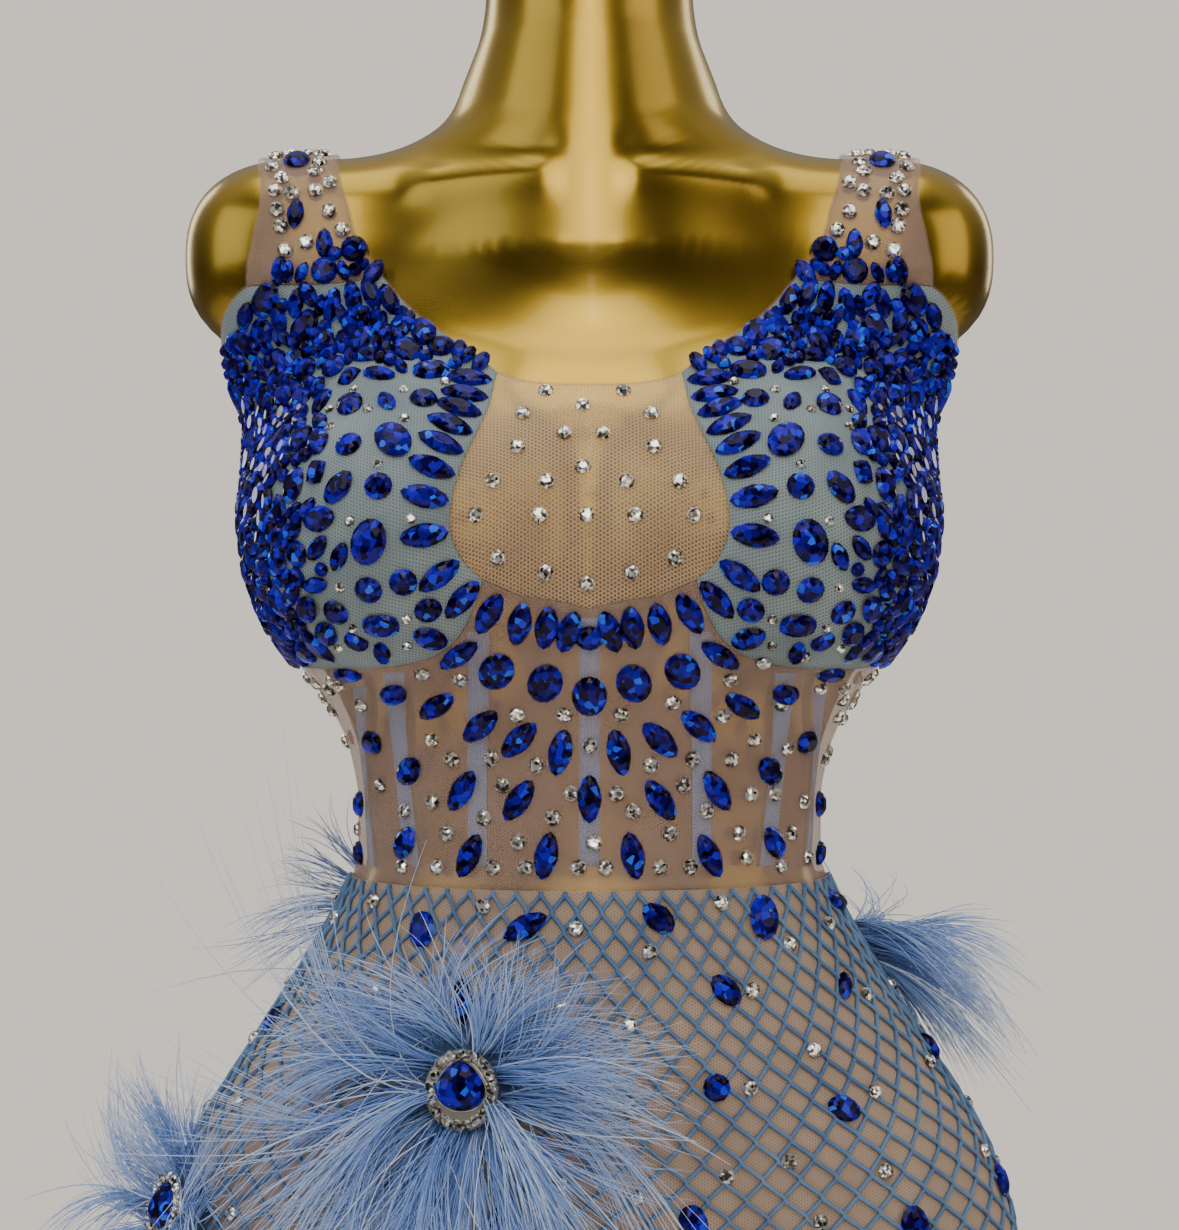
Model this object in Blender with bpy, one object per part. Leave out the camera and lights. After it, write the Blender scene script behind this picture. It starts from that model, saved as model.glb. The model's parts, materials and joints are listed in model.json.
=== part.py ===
"""Sleeveless feather dress on a limbless dress form.

The form is a smooth body given by a table of sections with rounded shoulders, neck and bust. Each
piece of cloth is a thin closed wall laid just off that body, cut along the garment's seams. Large
flat-back stones are raised in the walls' outer points. Feather puffs are tapered locks on a felt
button. Lengths in the tables are millimetres: x to the viewer's right, z up from the form's flat
underside, and the front of the dress faces -y.
"""
import copy
import math
import random

import bmesh
import bpy
import numpy as np
from mathutils import Vector
from mathutils.geometry import delaunay_2d_cdt

MM = 0.001

# The form: height, half width, front depth, back depth
SECTIONS = (
    (0, 155, 78, 78),
    (60, 162, 82, 84),
    (125, 172, 86, 92),
    (185, 182, 90, 102),
    (235, 188, 92, 112),
    (275, 191, 95, 118),
    (328, 187, 97, 118),
    (364, 176, 96, 112),
    (409, 149, 92, 96),
    (454, 120, 84, 76),
    (477, 107, 80, 70),
    (499, 99.5, 77, 66),
    (522, 99.5, 77, 66),
    (544, 103, 78, 69),
    (567, 111, 80, 74),
    (589, 121, 81, 79),
    (612, 134, 82, 84),
    (634, 141, 81, 87),
    (657, 145, 80, 88),
    (702, 146, 72, 83),
    (735, 135, 56, 68),
    (765, 105, 36, 46),
    (790, 60, 16, 22),
    (810, 20, 4, 6),
)
SQUARENESS = 2.15
TORSO_TOP = 812
SHOULDER = {"half_length": 128, "end": 54, "depth": 46, "height": 45, "y": 6, "z": 765, "power": 2.4}
NECK = {"half_width": 46.5, "depth_ratio": 1.08, "y": 8, "fades_below": 765, "top_z": 930}
BUST = {"x": 80, "y": -56, "z": 640, "radii": (62, 68, 62)}
BRIDGE = {"y": -46, "z": 638, "radii": (70, 66, 68)}
# How widely the form's masses run into each other, and how widely taut cloth spans the same creases
FORM_BLEND = {"shoulder": 34, "neck": 72, "bust": 34}
CLOTH_BLEND = {"shoulder": 52, "neck": 72, "bust": 46}
BRIDGE_BLEND = 30
FORM_COLUMNS = 36
FORM_LOW_ROWS = (40, 90, 140, 190, 240, 290, 330, 365, 395, 422)
FORM_MIDDLE_ROWS = (446, 464, 480, 495, 510, 525, 541, 558, 576, 594, 612, 632)
FORM_RISES = (0, 6, 12, 17, 21, 25, 30, 36, 42, 48, 54, 60, 65, 70, 74)
FORM_NECK_ROWS = (846, 872, 900, 927)
FORM_EDGE = 3
SHARP_ANGLE = 35

# The flat chart that the cloth is cut in: turn about the form across, height or rise up
CHEST = 655
CHART_WIDTH = 140
CHART_RISE = 170
EYE = (0, -1500, 605)
# How far out a line starts that is cast at the surface, how finely it is stepped and then halved
FAR = 300
PACE = 4
CLOSE_PACE = 2
HALVINGS = 26
BEHIND = 60

# Cloth
WALL = 1.2
SEAM_GAP = 0.3
# Height, gap between form and cloth there, and distance between the wall's points
LAY = (
    (0, 2.6, 33),
    (370, 2.6, 31),
    (440, 2.6, 18),
    (500, 3.2, 14),
    (590, 3.2, 14),
    (640, 2.4, 14),
    (690, 2.4, 14),
    (750, 1.8, 11),
    (790, 0.9, 8.5),
)
BACK_SPREAD = 1.3
INNER_SPREAD = 1.2
SIDE_GATHER = 0.32  # how far points draw together at the sides, where the form turns most
# Shares of the point distance: between rows, from the outline, and from a stone
ROW_SHARE = 0.87
EDGE_SHARE = 0.45
STONE_SHARE = 0.25
LINE_PARTS = 12
UPRIGHT_PARTS = 60
SHARPEST_CORNER = 0.6
HIP_SEAM = 487
HEM = 60
SIDE_TOP = 706
UNDERBUST_SIDE = 590
BAND = {"width": 8.5, "thickness": 0.7, "clearance": 0.9, "bottom": 492, "rows": 9}

# Raised stones: width, length, points round the base, points round the table, pointed ends
STONES = {
    "navette": (10, 21, 6, 2, True),
    "leaf": (11, 16.5, 6, 2, True),
    "dart": (7.5, 14, 4, 1, True),
    "oval": (15, 20, 8, 4, False),
    "pebble": (12, 16, 6, 2, False),
    "round": (12, 12, 6, 3, False),
}
STONE_HEIGHT = 3.4
STONE_TABLE = 0.5
STONE_GAP = 1.2
STONE_EDGE = 0.8
# A pointed stone's swell and taper, and its end as a share of its width
POINTED = {"swell": 1.06, "taper": 1.45, "end": 0.3}
LEAST_FACING = 0.35
RING_STONES = 14
RING_SET_BACK = 11.6
RING_STEP = 2

# Stones on the midriff, right half as seen; x and z in the plane through the form's middle, turn in
# degrees from upright, away from the centre at the foot. Those off the centre line are mirrored.
MIDRIFF_STONES = (
    ("oval", 0, 571, 0),
    ("oval", 19.7, 577, 15),
    ("oval", 41.5, 582.5, 23),
    ("navette", 59, 590, 54),
    ("navette", 67.9, 567, 54),
    ("leaf", 86.9, 573, 50),
    ("navette", 12.8, 544, 12),
    ("navette", 30.9, 550, 45),
    ("navette", 48.1, 557, 48),
    ("navette", 0, 522.7, 0),
    ("navette", 30.9, 522, 35),
    ("navette", 55.4, 526.5, 32),
    ("leaf", 78.2, 536, 45),
    ("leaf", 94.3, 550, 45),
    ("navette", 18.9, 501, 11),
    ("navette", 52.2, 501.5, 25),
    ("leaf", 79.7, 506, 33),
)
CUP_STONES = (
    ("oval", 88.1, 681.4, -30),
    ("pebble", 106.4, 696.8, -20),
    ("oval", 98.4, 638.2, 18),
    ("pebble", 93.1, 603.2, 88),
    ("pebble", 71.3, 712.3, 85),
    ("round", 74.9, 699.3, 0),
    ("round", 106.9, 679.3, 0),
    ("round", 94.3, 661.7, 0),
    ("dart", 90.7, 697.8, -35),
    ("leaf", 119.9, 680.7, -8),
    ("pebble", 130.1, 662.2, 10),
    ("leaf", 111.2, 661.3, 38),
    ("leaf", 119.3, 648, 82),
    ("round", 128.5, 633, 0),
    ("dart", 110.7, 632, 25),
    ("round", 98.4, 618, 0),
    ("round", 83.8, 621.2, 0),
    ("round", 73.3, 609.5, 0),
    ("dart", 120.6, 620, 80),
    ("pebble", 81.3, 722, -50),
    ("round", 66.5, 723.4, 0),
    ("leaf", 72.1, 597.4, -65),
)
STRAP_STONES = (
    ("round", 105.4, 769, 0),
    ("dart", 119, 771.5, 0),
    ("dart", 132.4, 785, 8),
    ("pebble", 131.6, 807.5, 0),
)
SKIRT_STONES = (
    ("pebble", -72.7, 462.4, 0),
    ("navette", -28.1, 464.2, -62),
    ("leaf", 29.9, 468.2, 50),
    ("pebble", 75.4, 467.8, 0),
    ("navette", 106, 474, 75),
    ("leaf", 59.6, 435.4, 45),
    ("round", 110.9, 436.3, 0),
    ("round", 56, 392.2, 0),
    ("leaf", 111.8, 382.3, 70),
    ("navette", 46.1, 331.9, 20),
    ("navette", 143.3, 329.2, 10),
    ("navette", -90, 268, 15),
    ("leaf", 0, 282, 0),
    ("navette", 95, 272, -15),
    ("leaf", -45, 222, -20),
    ("navette", 50, 215, 12),
    ("leaf", 0, 158, 0),
    ("leaf", 92, 160, 30),
    ("leaf", -92, 160, -30),
)
BACK_STONES = (
    ("navette", 0, 640, 0),
    ("navette", 34, 655, 30),
    ("navette", 68, 675, 40),
    ("navette", 0, 590, 0),
    ("navette", 34, 603, 25),
    ("navette", 68, 622, 35),
    ("navette", 0, 540, 0),
    ("navette", 34, 548, 20),
    ("leaf", 66, 562, 30),
)
BACK_SKIRT_STONES = (
    ("leaf", 0, 450, 0),
    ("leaf", 60, 462, 25),
    ("leaf", 30, 400, 10),
    ("leaf", 90, 392, 25),
    ("leaf", 0, 330, 0),
    ("leaf", 75, 318, 15),
    ("leaf", 35, 250, 10),
    ("leaf", 100, 240, 15),
)
FILL_SEED = 11
FILL_TRIES = 1400
FILL_LEAST_APART = 11
FILL_MOST = 32
FILL_TURN = 45
FILL_KINDS = ("leaf", "dart", "pebble", "dart", "round", "leaf", "dart")

# Seam and edge points: (where it is seen from, first number, second number)
NECK_EDGE = (
    ("front", 0, 706.3),
    ("front", 27, 707.6),
    ("front", 41.4, 711.7),
    ("front", 53.6, 722),
    ("front", 76.1, 737.8),
    ("front", 92.5, 756),
)
STRAP_SEAM = (("front", 92.5, 756), ("front", 122, 753), ("front", 153, 753))
ARMHOLE_FRONT = (("front", 153, 753), ("turn", 79.5, 739), ("turn", 84.5, 721), ("turn", 90, SIDE_TOP))
STRAP_INNER = (
    ("front", 92.5, 756),
    ("front", 104.9, 775),
    ("front", 109.4, 791),
    ("top", 112, -22),
    ("top", 113, 6),
    ("top", 112, 34),
    ("back", 106, 782),
    ("back", 96, 758),
)
STRAP_OUTER = (
    ("front", 153, 753),
    ("front", 150.5, 776),
    ("front", 147.5, 792),
    ("top", 146, -22),
    ("top", 146, 6),
    ("top", 146, 34),
    ("back", 148, 782),
    ("back", 150, 758),
)
STRAP_BACK_SEAM = (("back", 96, 758), ("back", 123, 755), ("back", 150, 758))
BACK_NECK = (
    ("back", 96, 758),
    ("back", 80, 742),
    ("back", 58, 729),
    ("back", 30, 722),
    ("back", 0, 720),
)
ARMHOLE_BACK = (("back", 150, 758), ("turn", 105, 740), ("turn", 97.5, 722), ("turn", 90, SIDE_TOP))
RING_UPPER = (
    ("front", 41.4, 711.7),
    ("front", 45, 697.3),
    ("front", 51.3, 684.7),
    ("front", 57.6, 672.5),
    ("front", 62.1, 659.5),
    ("front", 63.9, 647.8),
    ("front", 62.1, 636.5),
    ("front", 55.8, 627.5),
    ("front", 48.6, 622),
)
RING_LOWER = (
    ("front", 48.6, 622),
    ("front", 32.4, 615.4),
    ("front", 20.3, 613.6),
    ("front", 8, 611.5),
    ("front", 0, 609),
)
UNDERBUST = (
    ("turn", 90, UNDERBUST_SIDE),
    ("front", 118, 584),
    ("front", 92, 585),
    ("front", 72, 589),
    ("front", 60, 597),
    ("front", 53, 609),
    ("front", 48.6, 622),
)
# Bands: name, x at the hip seam, x at the top, z at the top, as seen from the front
BANDS = (
    ("band_centre", 0, 0, 604),
    ("band_inner", 50, 50, 598),
    ("band_outer", 79, 88, 580),
    ("band_side", 97, 103, 574),
)

# Feather puffs: name, seen from, two numbers, button radius, its rings, locks, length of a lock, the
# part of the radius that is left bare in the middle, and the side that is left bare, in degrees
PUFFS = (
    ("feather_puff_front", "front", -55, 391, 26, 5, 90, 112, 0.6, 180),
    ("feather_puff_left", "turn", -80, 341, 24, 5, 48, 82, 0.6, 0),
    ("feather_puff_right", "turn", 96, 452, 15, 3, 46, 88, 0.3, 180),
    ("feather_puff_back", "turn", -112, 468, 15, 3, 40, 76, 0.3, 0),
)
PUFF = {"thickness": 2.0, "dome": 3.5, "dome_least": 0.5, "gap": 0.5, "stone_gap": 14}
# A lock: how thin its middle is, where that lies, how wide its angle strays, its rise at the button's
# rim and middle and how much that strays, how far it bends over and sags, its shortest and longest
# share of the puff's length, and how close it comes to the form
LOCK = {
    "taper": 0.42,
    "middle": 0.45,
    "spread": 6,
    "low_rise": 12,
    "high_rise": 66,
    "rise_spread": 3,
    "bend": (1.25, 0.45),
    "droop": 0.1,
    "lengths": (0.72, 1.06),
    "least_height": 7.5,
    "seed": 5,
}
JEWELS = (("jewel_front", "feather_puff_front"), ("jewel_left", "feather_puff_left"))
# Rings of a jewel: height, share of its size, and whether the ring is of the drop stone
JEWEL = {
    "width": 29,
    "height": 34,
    "stone_width": 18,
    "stone_height": 24,
    "sides": 18,
    "point": 0.2,
    "rings": (
        (0, 0.94, False),
        (1.2, 1, False),
        (3, 0.93, False),
        (3, 1, True),
        (6, 0.86, True),
        (8, 0.5, True),
    ),
}

# Colours (linear red, green, blue), metallic, roughness
FINISHES = {
    "gold": ((0.55, 0.38, 0.09), 1.0, 0.22),
    "nude_mesh": ((0.58, 0.37, 0.24), 0.0, 0.7),
    "grey_mesh": ((0.24, 0.29, 0.30), 0.0, 0.7),
    "net": ((0.30, 0.34, 0.38), 0.0, 0.7),
    "band": ((0.13, 0.22, 0.36), 0.0, 0.5),
    "feather": ((0.22, 0.36, 0.58), 0.0, 0.8),
    "stone": ((0.01, 0.01, 0.45), 0.3, 0.1),
}


def smooth_table(rows):
    """A function that runs smoothly through a table's rows with no overshoot."""
    table = np.array(rows, float)
    x, y = table[:, 0], table[:, 1:]
    h = np.diff(x)
    slope = np.diff(y, axis=0) / h[:, None]
    m = np.zeros_like(y)
    m[0], m[-1] = slope[0], slope[-1]
    for i in range(1, len(x) - 1):
        before, after = slope[i - 1], slope[i]
        w1, w2 = 2 * h[i] + h[i - 1], h[i] + 2 * h[i - 1]
        same = before * after > 0
        safe_before = np.where(same, before, 1)
        safe_after = np.where(same, after, 1)
        m[i] = np.where(same, (w1 + w2) / (w1 / safe_before + w2 / safe_after), 0)

    def value(q):
        q = np.clip(q, x[0], x[-1])
        i = np.clip(np.searchsorted(x, q) - 1, 0, len(x) - 2)
        t = ((q - x[i]) / h[i])[:, None]
        step = h[i][:, None]
        return (
            (1 + 2 * t) * (1 - t) ** 2 * y[i]
            + t * (1 - t) ** 2 * step * m[i]
            + t * t * (3 - 2 * t) * y[i + 1]
            + t * t * (t - 1) * step * m[i + 1]
        )

    return value


section_at = smooth_table(SECTIONS)


def blended(a, b, width):
    """The smaller of two fields, rounded where they meet."""
    h = np.maximum(width - np.abs(a - b), 0) / width
    return np.minimum(a, b) - h * h * width / 4


def ellipsoid(p, centre, radii):
    q = (p - np.array(centre)) / np.array(radii)
    return (np.sqrt((q * q).sum(axis=1)) - 1) * min(radii)


def form_field(p, blend=FORM_BLEND):
    """Negative inside the form, about the distance in millimetres outside it."""
    x, y, z = p[:, 0], p[:, 1], p[:, 2]
    half, front, back = section_at(z).T
    depth = np.where(y < 0, front, back)
    radius = np.hypot(x, y) + 1e-9
    size = (np.abs(x) / half) ** SQUARENESS + (np.abs(y) / depth) ** SQUARENESS + 1e-12
    torso = radius - radius / size ** (1 / SQUARENESS)
    torso = np.maximum(torso, z - TORSO_TOP)
    power = SHOULDER["power"]
    along = np.maximum(np.abs(x) - SHOULDER["half_length"], 0) / SHOULDER["end"]
    across = np.abs(y - SHOULDER["y"]) / SHOULDER["depth"]
    up = np.abs(z - SHOULDER["z"]) / SHOULDER["height"]
    bar = ((along**power + across**power + up**power + 1e-9) ** (1 / power) - 1) * SHOULDER["height"]
    neck = np.hypot(x, (y - NECK["y"]) / NECK["depth_ratio"]) - NECK["half_width"]
    neck = neck + np.maximum(NECK["fades_below"] - z, 0)
    body = blended(blended(torso, bar, blend["shoulder"]), neck, blend["neck"])
    for side in (-1, 1):
        bust = ellipsoid(p, (side * BUST["x"], BUST["y"], BUST["z"]), BUST["radii"])
        body = blended(body, bust, blend["bust"])
    return body


def dress_field(p):
    """The form with its creases and the hollow of its bust spanned, as taut cloth spans them."""
    bridge = ellipsoid(p, (0, BRIDGE["y"], BRIDGE["z"]), BRIDGE["radii"])
    return blended(form_field(p, CLOTH_BLEND), bridge, BRIDGE_BLEND)


def cast(field, starts, directions, reach=FAR, pace=PACE):
    """Where lines that come from far out first meet the field's surface, as distances from starts."""
    steps = math.ceil(reach / pace)
    far = np.full(len(starts), float(reach))
    near = np.zeros(len(starts))
    found = np.zeros(len(starts), bool)
    last = far.copy()
    for k in range(1, steps + 1):
        at = far * (1 - k / steps)
        inside = field(starts + directions * at[:, None]) < 0
        new = inside & ~found
        near[new] = at[new]
        found |= inside
        last[~found] = at[~found]
    for _ in range(HALVINGS):
        middle = (near + last) / 2
        inside = field(starts + directions * middle[:, None]) < 0
        near = np.where(inside, middle, near)
        last = np.where(inside, last, middle)
    return near


def chart_rays(chart):
    """Start and direction of the line out of the form's axis for each chart point."""
    turn = chart[:, 0] / CHART_WIDTH
    rise = np.maximum(chart[:, 1] - CHEST, 0) / CHART_RISE
    starts = np.zeros((len(chart), 3))
    starts[:, 2] = np.minimum(chart[:, 1], CHEST)
    flat = np.cos(rise)
    directions = np.c_[np.sin(turn) * flat, -np.cos(turn) * flat, np.sin(rise)]
    return starts, directions


def normals(field, points):
    step = 0.5
    n = np.zeros_like(points)
    for axis in range(3):
        move = np.zeros(3)
        move[axis] = step
        n[:, axis] = field(points + move) - field(points - move)
    return n / np.linalg.norm(n, axis=1)[:, None]


def surface(chart, field=dress_field):
    """Points of the surface over the chart, and its normals there."""
    chart = np.atleast_2d(np.asarray(chart, float))
    starts, directions = chart_rays(chart)
    points = starts + directions * cast(field, starts, directions)[:, None]
    return points, normals(field, points)


def lay_at(z, column):
    """The value of a column of the table LAY at height z."""
    table = np.array(LAY, float)
    return np.interp(z, table[:, 0], table[:, column])


def clearance_at(z):
    return lay_at(z, 1)


def gathered(across):
    """Even chart positions drawn together towards the form's sides."""
    return across + CHART_WIDTH * SIDE_GATHER * np.sin(2 * across / CHART_WIDTH)


def chart_of(point):
    """The chart point under a point in space."""
    x, y, z = point
    turn = math.atan2(x, -y)
    if z <= CHEST:
        return (turn * CHART_WIDTH, z)
    return (turn * CHART_WIDTH, CHEST + CHART_RISE * math.atan2(z - CHEST, math.hypot(x, y)))


def seen(view, first, second):
    """The chart point seen at two numbers: (x, z) from the front or back, (x, y) from the top, or
    (degrees round the form, z)."""
    if view == "turn":
        turn = math.radians(first) * CHART_WIDTH
        low, high = second - 1e-6, CHEST + CHART_RISE * math.pi / 2
        if second <= CHEST:
            return (turn, second)
        for _ in range(HALVINGS):
            middle = (low + high) / 2
            reached = surface([(turn, middle)])[0][0, 2]
            low, high = (middle, high) if reached < second else (low, middle)
        return (turn, low)
    if view == "front":
        eye = np.array(EYE, float)
        way = np.array((first, 0, second)) - eye
        length = np.linalg.norm(way)
        way /= length
        start = eye + way * (length + BEHIND)
        reach = cast(dress_field, start[None], -way[None], FAR + BEHIND, CLOSE_PACE)[0]
        point = start - way * reach
    elif view == "back":
        point = np.array((first, 0, second), float)
        point[1] = cast(dress_field, point[None], np.array([(0, 1.0, 0)]), FAR, CLOSE_PACE)[0]
    else:
        point = np.array((first, second, CHEST), float)
        point[2] += cast(dress_field, point[None], np.array([(0, 0, 1.0)]), FAR, CLOSE_PACE)[0]
    chart = chart_of(point)
    if view == "back" and chart[0] < 0:
        return (chart[0] + 2 * math.pi * CHART_WIDTH, chart[1])
    return chart


def edge(rows):
    """A smooth chart line through the rows, with points as close as the cloth's are there."""
    points = np.array([seen(*row) for row in rows])
    dense = []
    for i in range(len(points) - 1):
        a, b = points[i], points[i + 1]
        before = points[i - 1] if i else 2 * a - b
        after = points[i + 2] if i + 2 < len(points) else 2 * b - a
        for t in np.linspace(0, 1, LINE_PARTS, endpoint=False):
            bend = (2 * before - 5 * a + 4 * b - after) * t * t + (3 * a - before - 3 * b + after) * t**3
            dense.append((2 * a + (b - before) * t + bend) / 2)
    dense.append(points[-1])
    dense = np.array(dense)
    walked = np.r_[0, np.cumsum(np.linalg.norm(np.diff(dense, axis=0), axis=1))]
    pace = np.r_[0, np.cumsum(np.diff(walked) / lay_at(dense[1:, 1], 2))]
    count = max(1, round(pace[-1]))
    at = np.interp(np.linspace(0, pace[-1], count + 1), pace, walked)
    return np.c_[np.interp(at, walked, dense[:, 0]), np.interp(at, walked, dense[:, 1])]


def level_line(start, end, z):
    """A level chart line, its points gathered at the sides."""
    count = max(1, round(abs(end - start) / lay_at(z, 2)))
    across = gathered(np.linspace(start, end, count + 1))
    return np.c_[across, np.full(count + 1, float(z))]


def upright_line(across, top, bottom):
    """A straight chart line from top down to bottom."""
    heights = np.linspace(top, bottom, UPRIGHT_PARTS)
    pace = np.r_[0, np.cumsum(np.abs(np.diff(heights)) / lay_at(heights[1:], 2))]
    count = max(1, round(pace[-1]))
    at = np.interp(np.linspace(0, pace[-1], count + 1), pace, heights)
    return np.c_[np.full(count + 1, float(across)), at]


def mirrored(line, back=False):
    """The same line on the other side, walked the other way."""
    flipped = line[::-1].copy()
    flipped[:, 0] = (2 * math.pi * CHART_WIDTH if back else 0) - flipped[:, 0]
    return flipped


def loop_of(*lines):
    """One closed outline from lines that follow each other."""
    return np.concatenate([line[:-1] for line in lines])


def area_of(outline):
    x, y = outline.T
    return 0.5 * np.sum(x * np.roll(y, -1) - np.roll(x, -1) * y)


def drawn_in(outline, amount):
    """The outline with each side moved inwards by amount, anticlockwise."""
    if area_of(outline) < 0:
        outline = outline[::-1]
    before = outline - np.roll(outline, 1, axis=0)
    after = np.roll(outline, -1, axis=0) - outline
    before /= np.linalg.norm(before, axis=1)[:, None]
    after /= np.linalg.norm(after, axis=1)[:, None]
    inward_before = np.c_[-before[:, 1], before[:, 0]]
    inward_after = np.c_[-after[:, 1], after[:, 0]]
    both = inward_before + inward_after
    scale = 2 / np.maximum((both * both).sum(axis=1), SHARPEST_CORNER)
    return outline + both * (scale * amount)[:, None]


def inside(points, outline):
    """Which points lie inside a closed outline."""
    x, y = points[:, 0:1], points[:, 1:2]
    x0, y0 = outline[:, 0], outline[:, 1]
    x1, y1 = np.roll(x0, -1), np.roll(y0, -1)
    crosses = (y0 > y) != (y1 > y)
    rise = np.where(y1 == y0, 1, y1 - y0)
    at = x0 + (y - y0) / rise * (x1 - x0)
    return ((crosses & (x < at)).sum(axis=1) % 2) == 1


def distance_to(points, outline):
    """Distance from each point to the nearest side of a closed outline."""
    a = outline[None]
    side = np.roll(outline, -1, axis=0)[None] - a
    to = points[:, None] - a
    t = np.clip((to * side).sum(axis=2) / (side * side).sum(axis=2), 0, 1)
    return np.linalg.norm(to - side * t[:, :, None], axis=2).min(axis=1)


def tangent_frame(chart):
    """Point, normal, and the chart steps that move a point by a small vector in space."""
    step = 1.0
    around = np.array(
        (chart, (chart[0] + step, chart[1]), (chart[0], chart[1] + step), (chart[0], chart[1] - step))
    )
    points, out = surface(around)
    jacobian = np.c_[points[1] - points[0], (points[2] - points[3]) / 2]
    return points[0], out[0], np.linalg.pinv(jacobian)


class Stone:
    """A raised stone: its chart outline, its table's chart points and its size in space."""

    def __init__(self, kind, chart, turn=0.0, along=None):
        width, length, base, table, pointed = STONES[kind]
        point, out, to_chart = tangent_frame(chart)
        if along is None:
            along = direction_seen(turn, point, out)
        across = np.cross(along, out)
        self.chart = np.array(chart, float)
        self.point = point
        self.outline = self.ring(width, length, base, pointed, along, across, to_chart)
        small = (width * STONE_TABLE, length * STONE_TABLE)
        self.table = self.ring(*small, table, False, along, across, to_chart)
        reach = max(0.0, (length - width) / 2)
        end = width * (POINTED["end"] if pointed else 0.5)
        self.centres = np.array([point - along * reach, point, point + along * reach])
        self.radii = np.array([end, width / 2, end])

    def ring(self, width, length, count, pointed, along, across, to_chart):
        points = []
        for k in range(count):
            angle = 2 * math.pi * k / count
            u, v = math.sin(angle), math.cos(angle)
            if pointed:
                u *= POINTED["swell"]
                v = math.copysign(abs(v) ** POINTED["taper"], v)
            move = across * (u * width / 2) + along * (v * length / 2)
            points.append(self.chart + to_chart @ move)
        return np.array(points)

    def on_side(self, side):
        """The same stone on the right, or mirrored to the left."""
        if side == 1:
            return self
        other = copy.copy(self)
        other.chart = self.chart * (-1, 1)
        other.outline = self.outline[::-1] * (-1, 1)
        other.table = self.table[::-1] * (-1, 1)
        other.point = self.point * (-1, 1, 1)
        other.centres = self.centres * (-1, 1, 1)
        return other

    def clear_of(self, other):
        apart = np.linalg.norm(self.centres[:, None] - other.centres[None], axis=2)
        return (apart - self.radii[:, None] - other.radii[None]).min() > STONE_GAP

    def within(self, outline):
        margin = distance_to(self.outline, outline).min()
        return inside(self.outline, outline).all() and margin > STONE_EDGE


def direction_seen(turn, point, out):
    """The direction in the surface that looks turned by this much from upright."""
    lean = math.radians(turn)
    facing = -1 if out[1] < 0 else 1
    want = np.array((-facing * math.sin(lean), 0, math.cos(lean)))
    if abs(out[1]) > LEAST_FACING:
        want[1] = -(want[0] * out[0] + want[2] * out[2]) / out[1]
    else:
        level = np.cross(out, (0, 0, 1.0))
        want = level * math.sin(lean) * facing + np.array((0, 0, math.cos(lean)))
    want -= out * (want @ out)
    return want / np.linalg.norm(want)


def placed_stones(rows, view, both_sides):
    stones = []
    for kind, x, z, turn in rows:
        for side in (1, -1) if both_sides and x else (1,):
            stones.append(Stone(kind, seen(view, side * x, z), -side * turn))
    return stones


def ring_stones(line):
    """Navettes that stand out from the bib's edge all along one half of it."""
    walked = np.r_[0, np.cumsum(np.linalg.norm(np.diff(surface(line)[0], axis=0), axis=1))]
    stones = []
    for k in range(RING_STONES):
        at = walked[-1] * (k + 0.5) / RING_STONES
        ends = [
            (np.interp(at + d, walked, line[:, 0]), np.interp(at + d, walked, line[:, 1]))
            for d in (-RING_STEP, 0, RING_STEP)
        ]
        points, out = surface(ends)
        tangent = points[2] - points[0]
        away = np.cross(out[1], tangent / np.linalg.norm(tangent))
        _, _, to_chart = tangent_frame(ends[1])
        for side in (1, -1):
            if side == 1:
                chart = np.array(ends[1]) + to_chart @ (away * RING_SET_BACK)
                stones.append(Stone("navette", chart, along=away))
            else:
                stones.append(Stone("navette", (-chart[0], chart[1]), along=away * (-1, 1, 1)))
    return stones


def filling_stones(outline, taken):
    """Small stones strewn over what the placed stones leave of an outline."""
    draw = random.Random(FILL_SEED)
    low, high = outline.min(axis=0), outline.max(axis=0)
    charts = np.array(
        [(draw.uniform(low[0], high[0]), draw.uniform(low[1], high[1])) for _ in range(FILL_TRIES)]
    )
    charts = charts[inside(charts, outline)]
    spots = surface(charts)[0]
    stones = []
    for chart, spot in zip(charts, spots):
        turn = draw.uniform(-FILL_TURN, FILL_TURN)
        if len(stones) == FILL_MOST:
            break
        if any(np.linalg.norm(other.point - spot) < FILL_LEAST_APART for other in taken + stones):
            continue
        stone = Stone(FILL_KINDS[len(stones) % len(FILL_KINDS)], chart, turn)
        if stone.within(outline) and all(stone.clear_of(other) for other in taken + stones):
            stones.append(stone)
    return stones


def chosen(stones, outline):
    """The stones that lie wholly inside an outline and clear of each other."""
    kept = []
    for stone in stones:
        if stone.within(outline) and all(stone.clear_of(other) for other in kept):
            kept.append(stone)
    return kept


def grid_points(outline, spread, stones=()):
    """Points of a staggered grid inside an outline and off the stones."""
    low, high = outline.min(axis=0), outline.max(axis=0)
    width = CHART_WIDTH * 2 * SIDE_GATHER
    rows = []
    y, odd = low[1], False
    while y < high[1]:
        step = lay_at(y, 2) * spread
        start = low[0] - width + (step / 2 if odd else 0)
        rows += [(x, y, step) for x in gathered(np.arange(start, high[0] + width, step))]
        y += step * ROW_SHARE
        odd = not odd
    points, steps = np.array(rows)[:, :2], np.array(rows)[:, 2]
    steps = steps * np.minimum(1, 1 + 2 * SIDE_GATHER * np.cos(2 * points[:, 0] / CHART_WIDTH))
    keep = inside(points, outline) & (distance_to(points, outline) > steps * EDGE_SHARE)
    for stone in stones:
        clear = distance_to(points, stone.outline) > steps * STONE_SHARE
        keep &= ~inside(points, stone.outline) & clear
    return points[keep]


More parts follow.
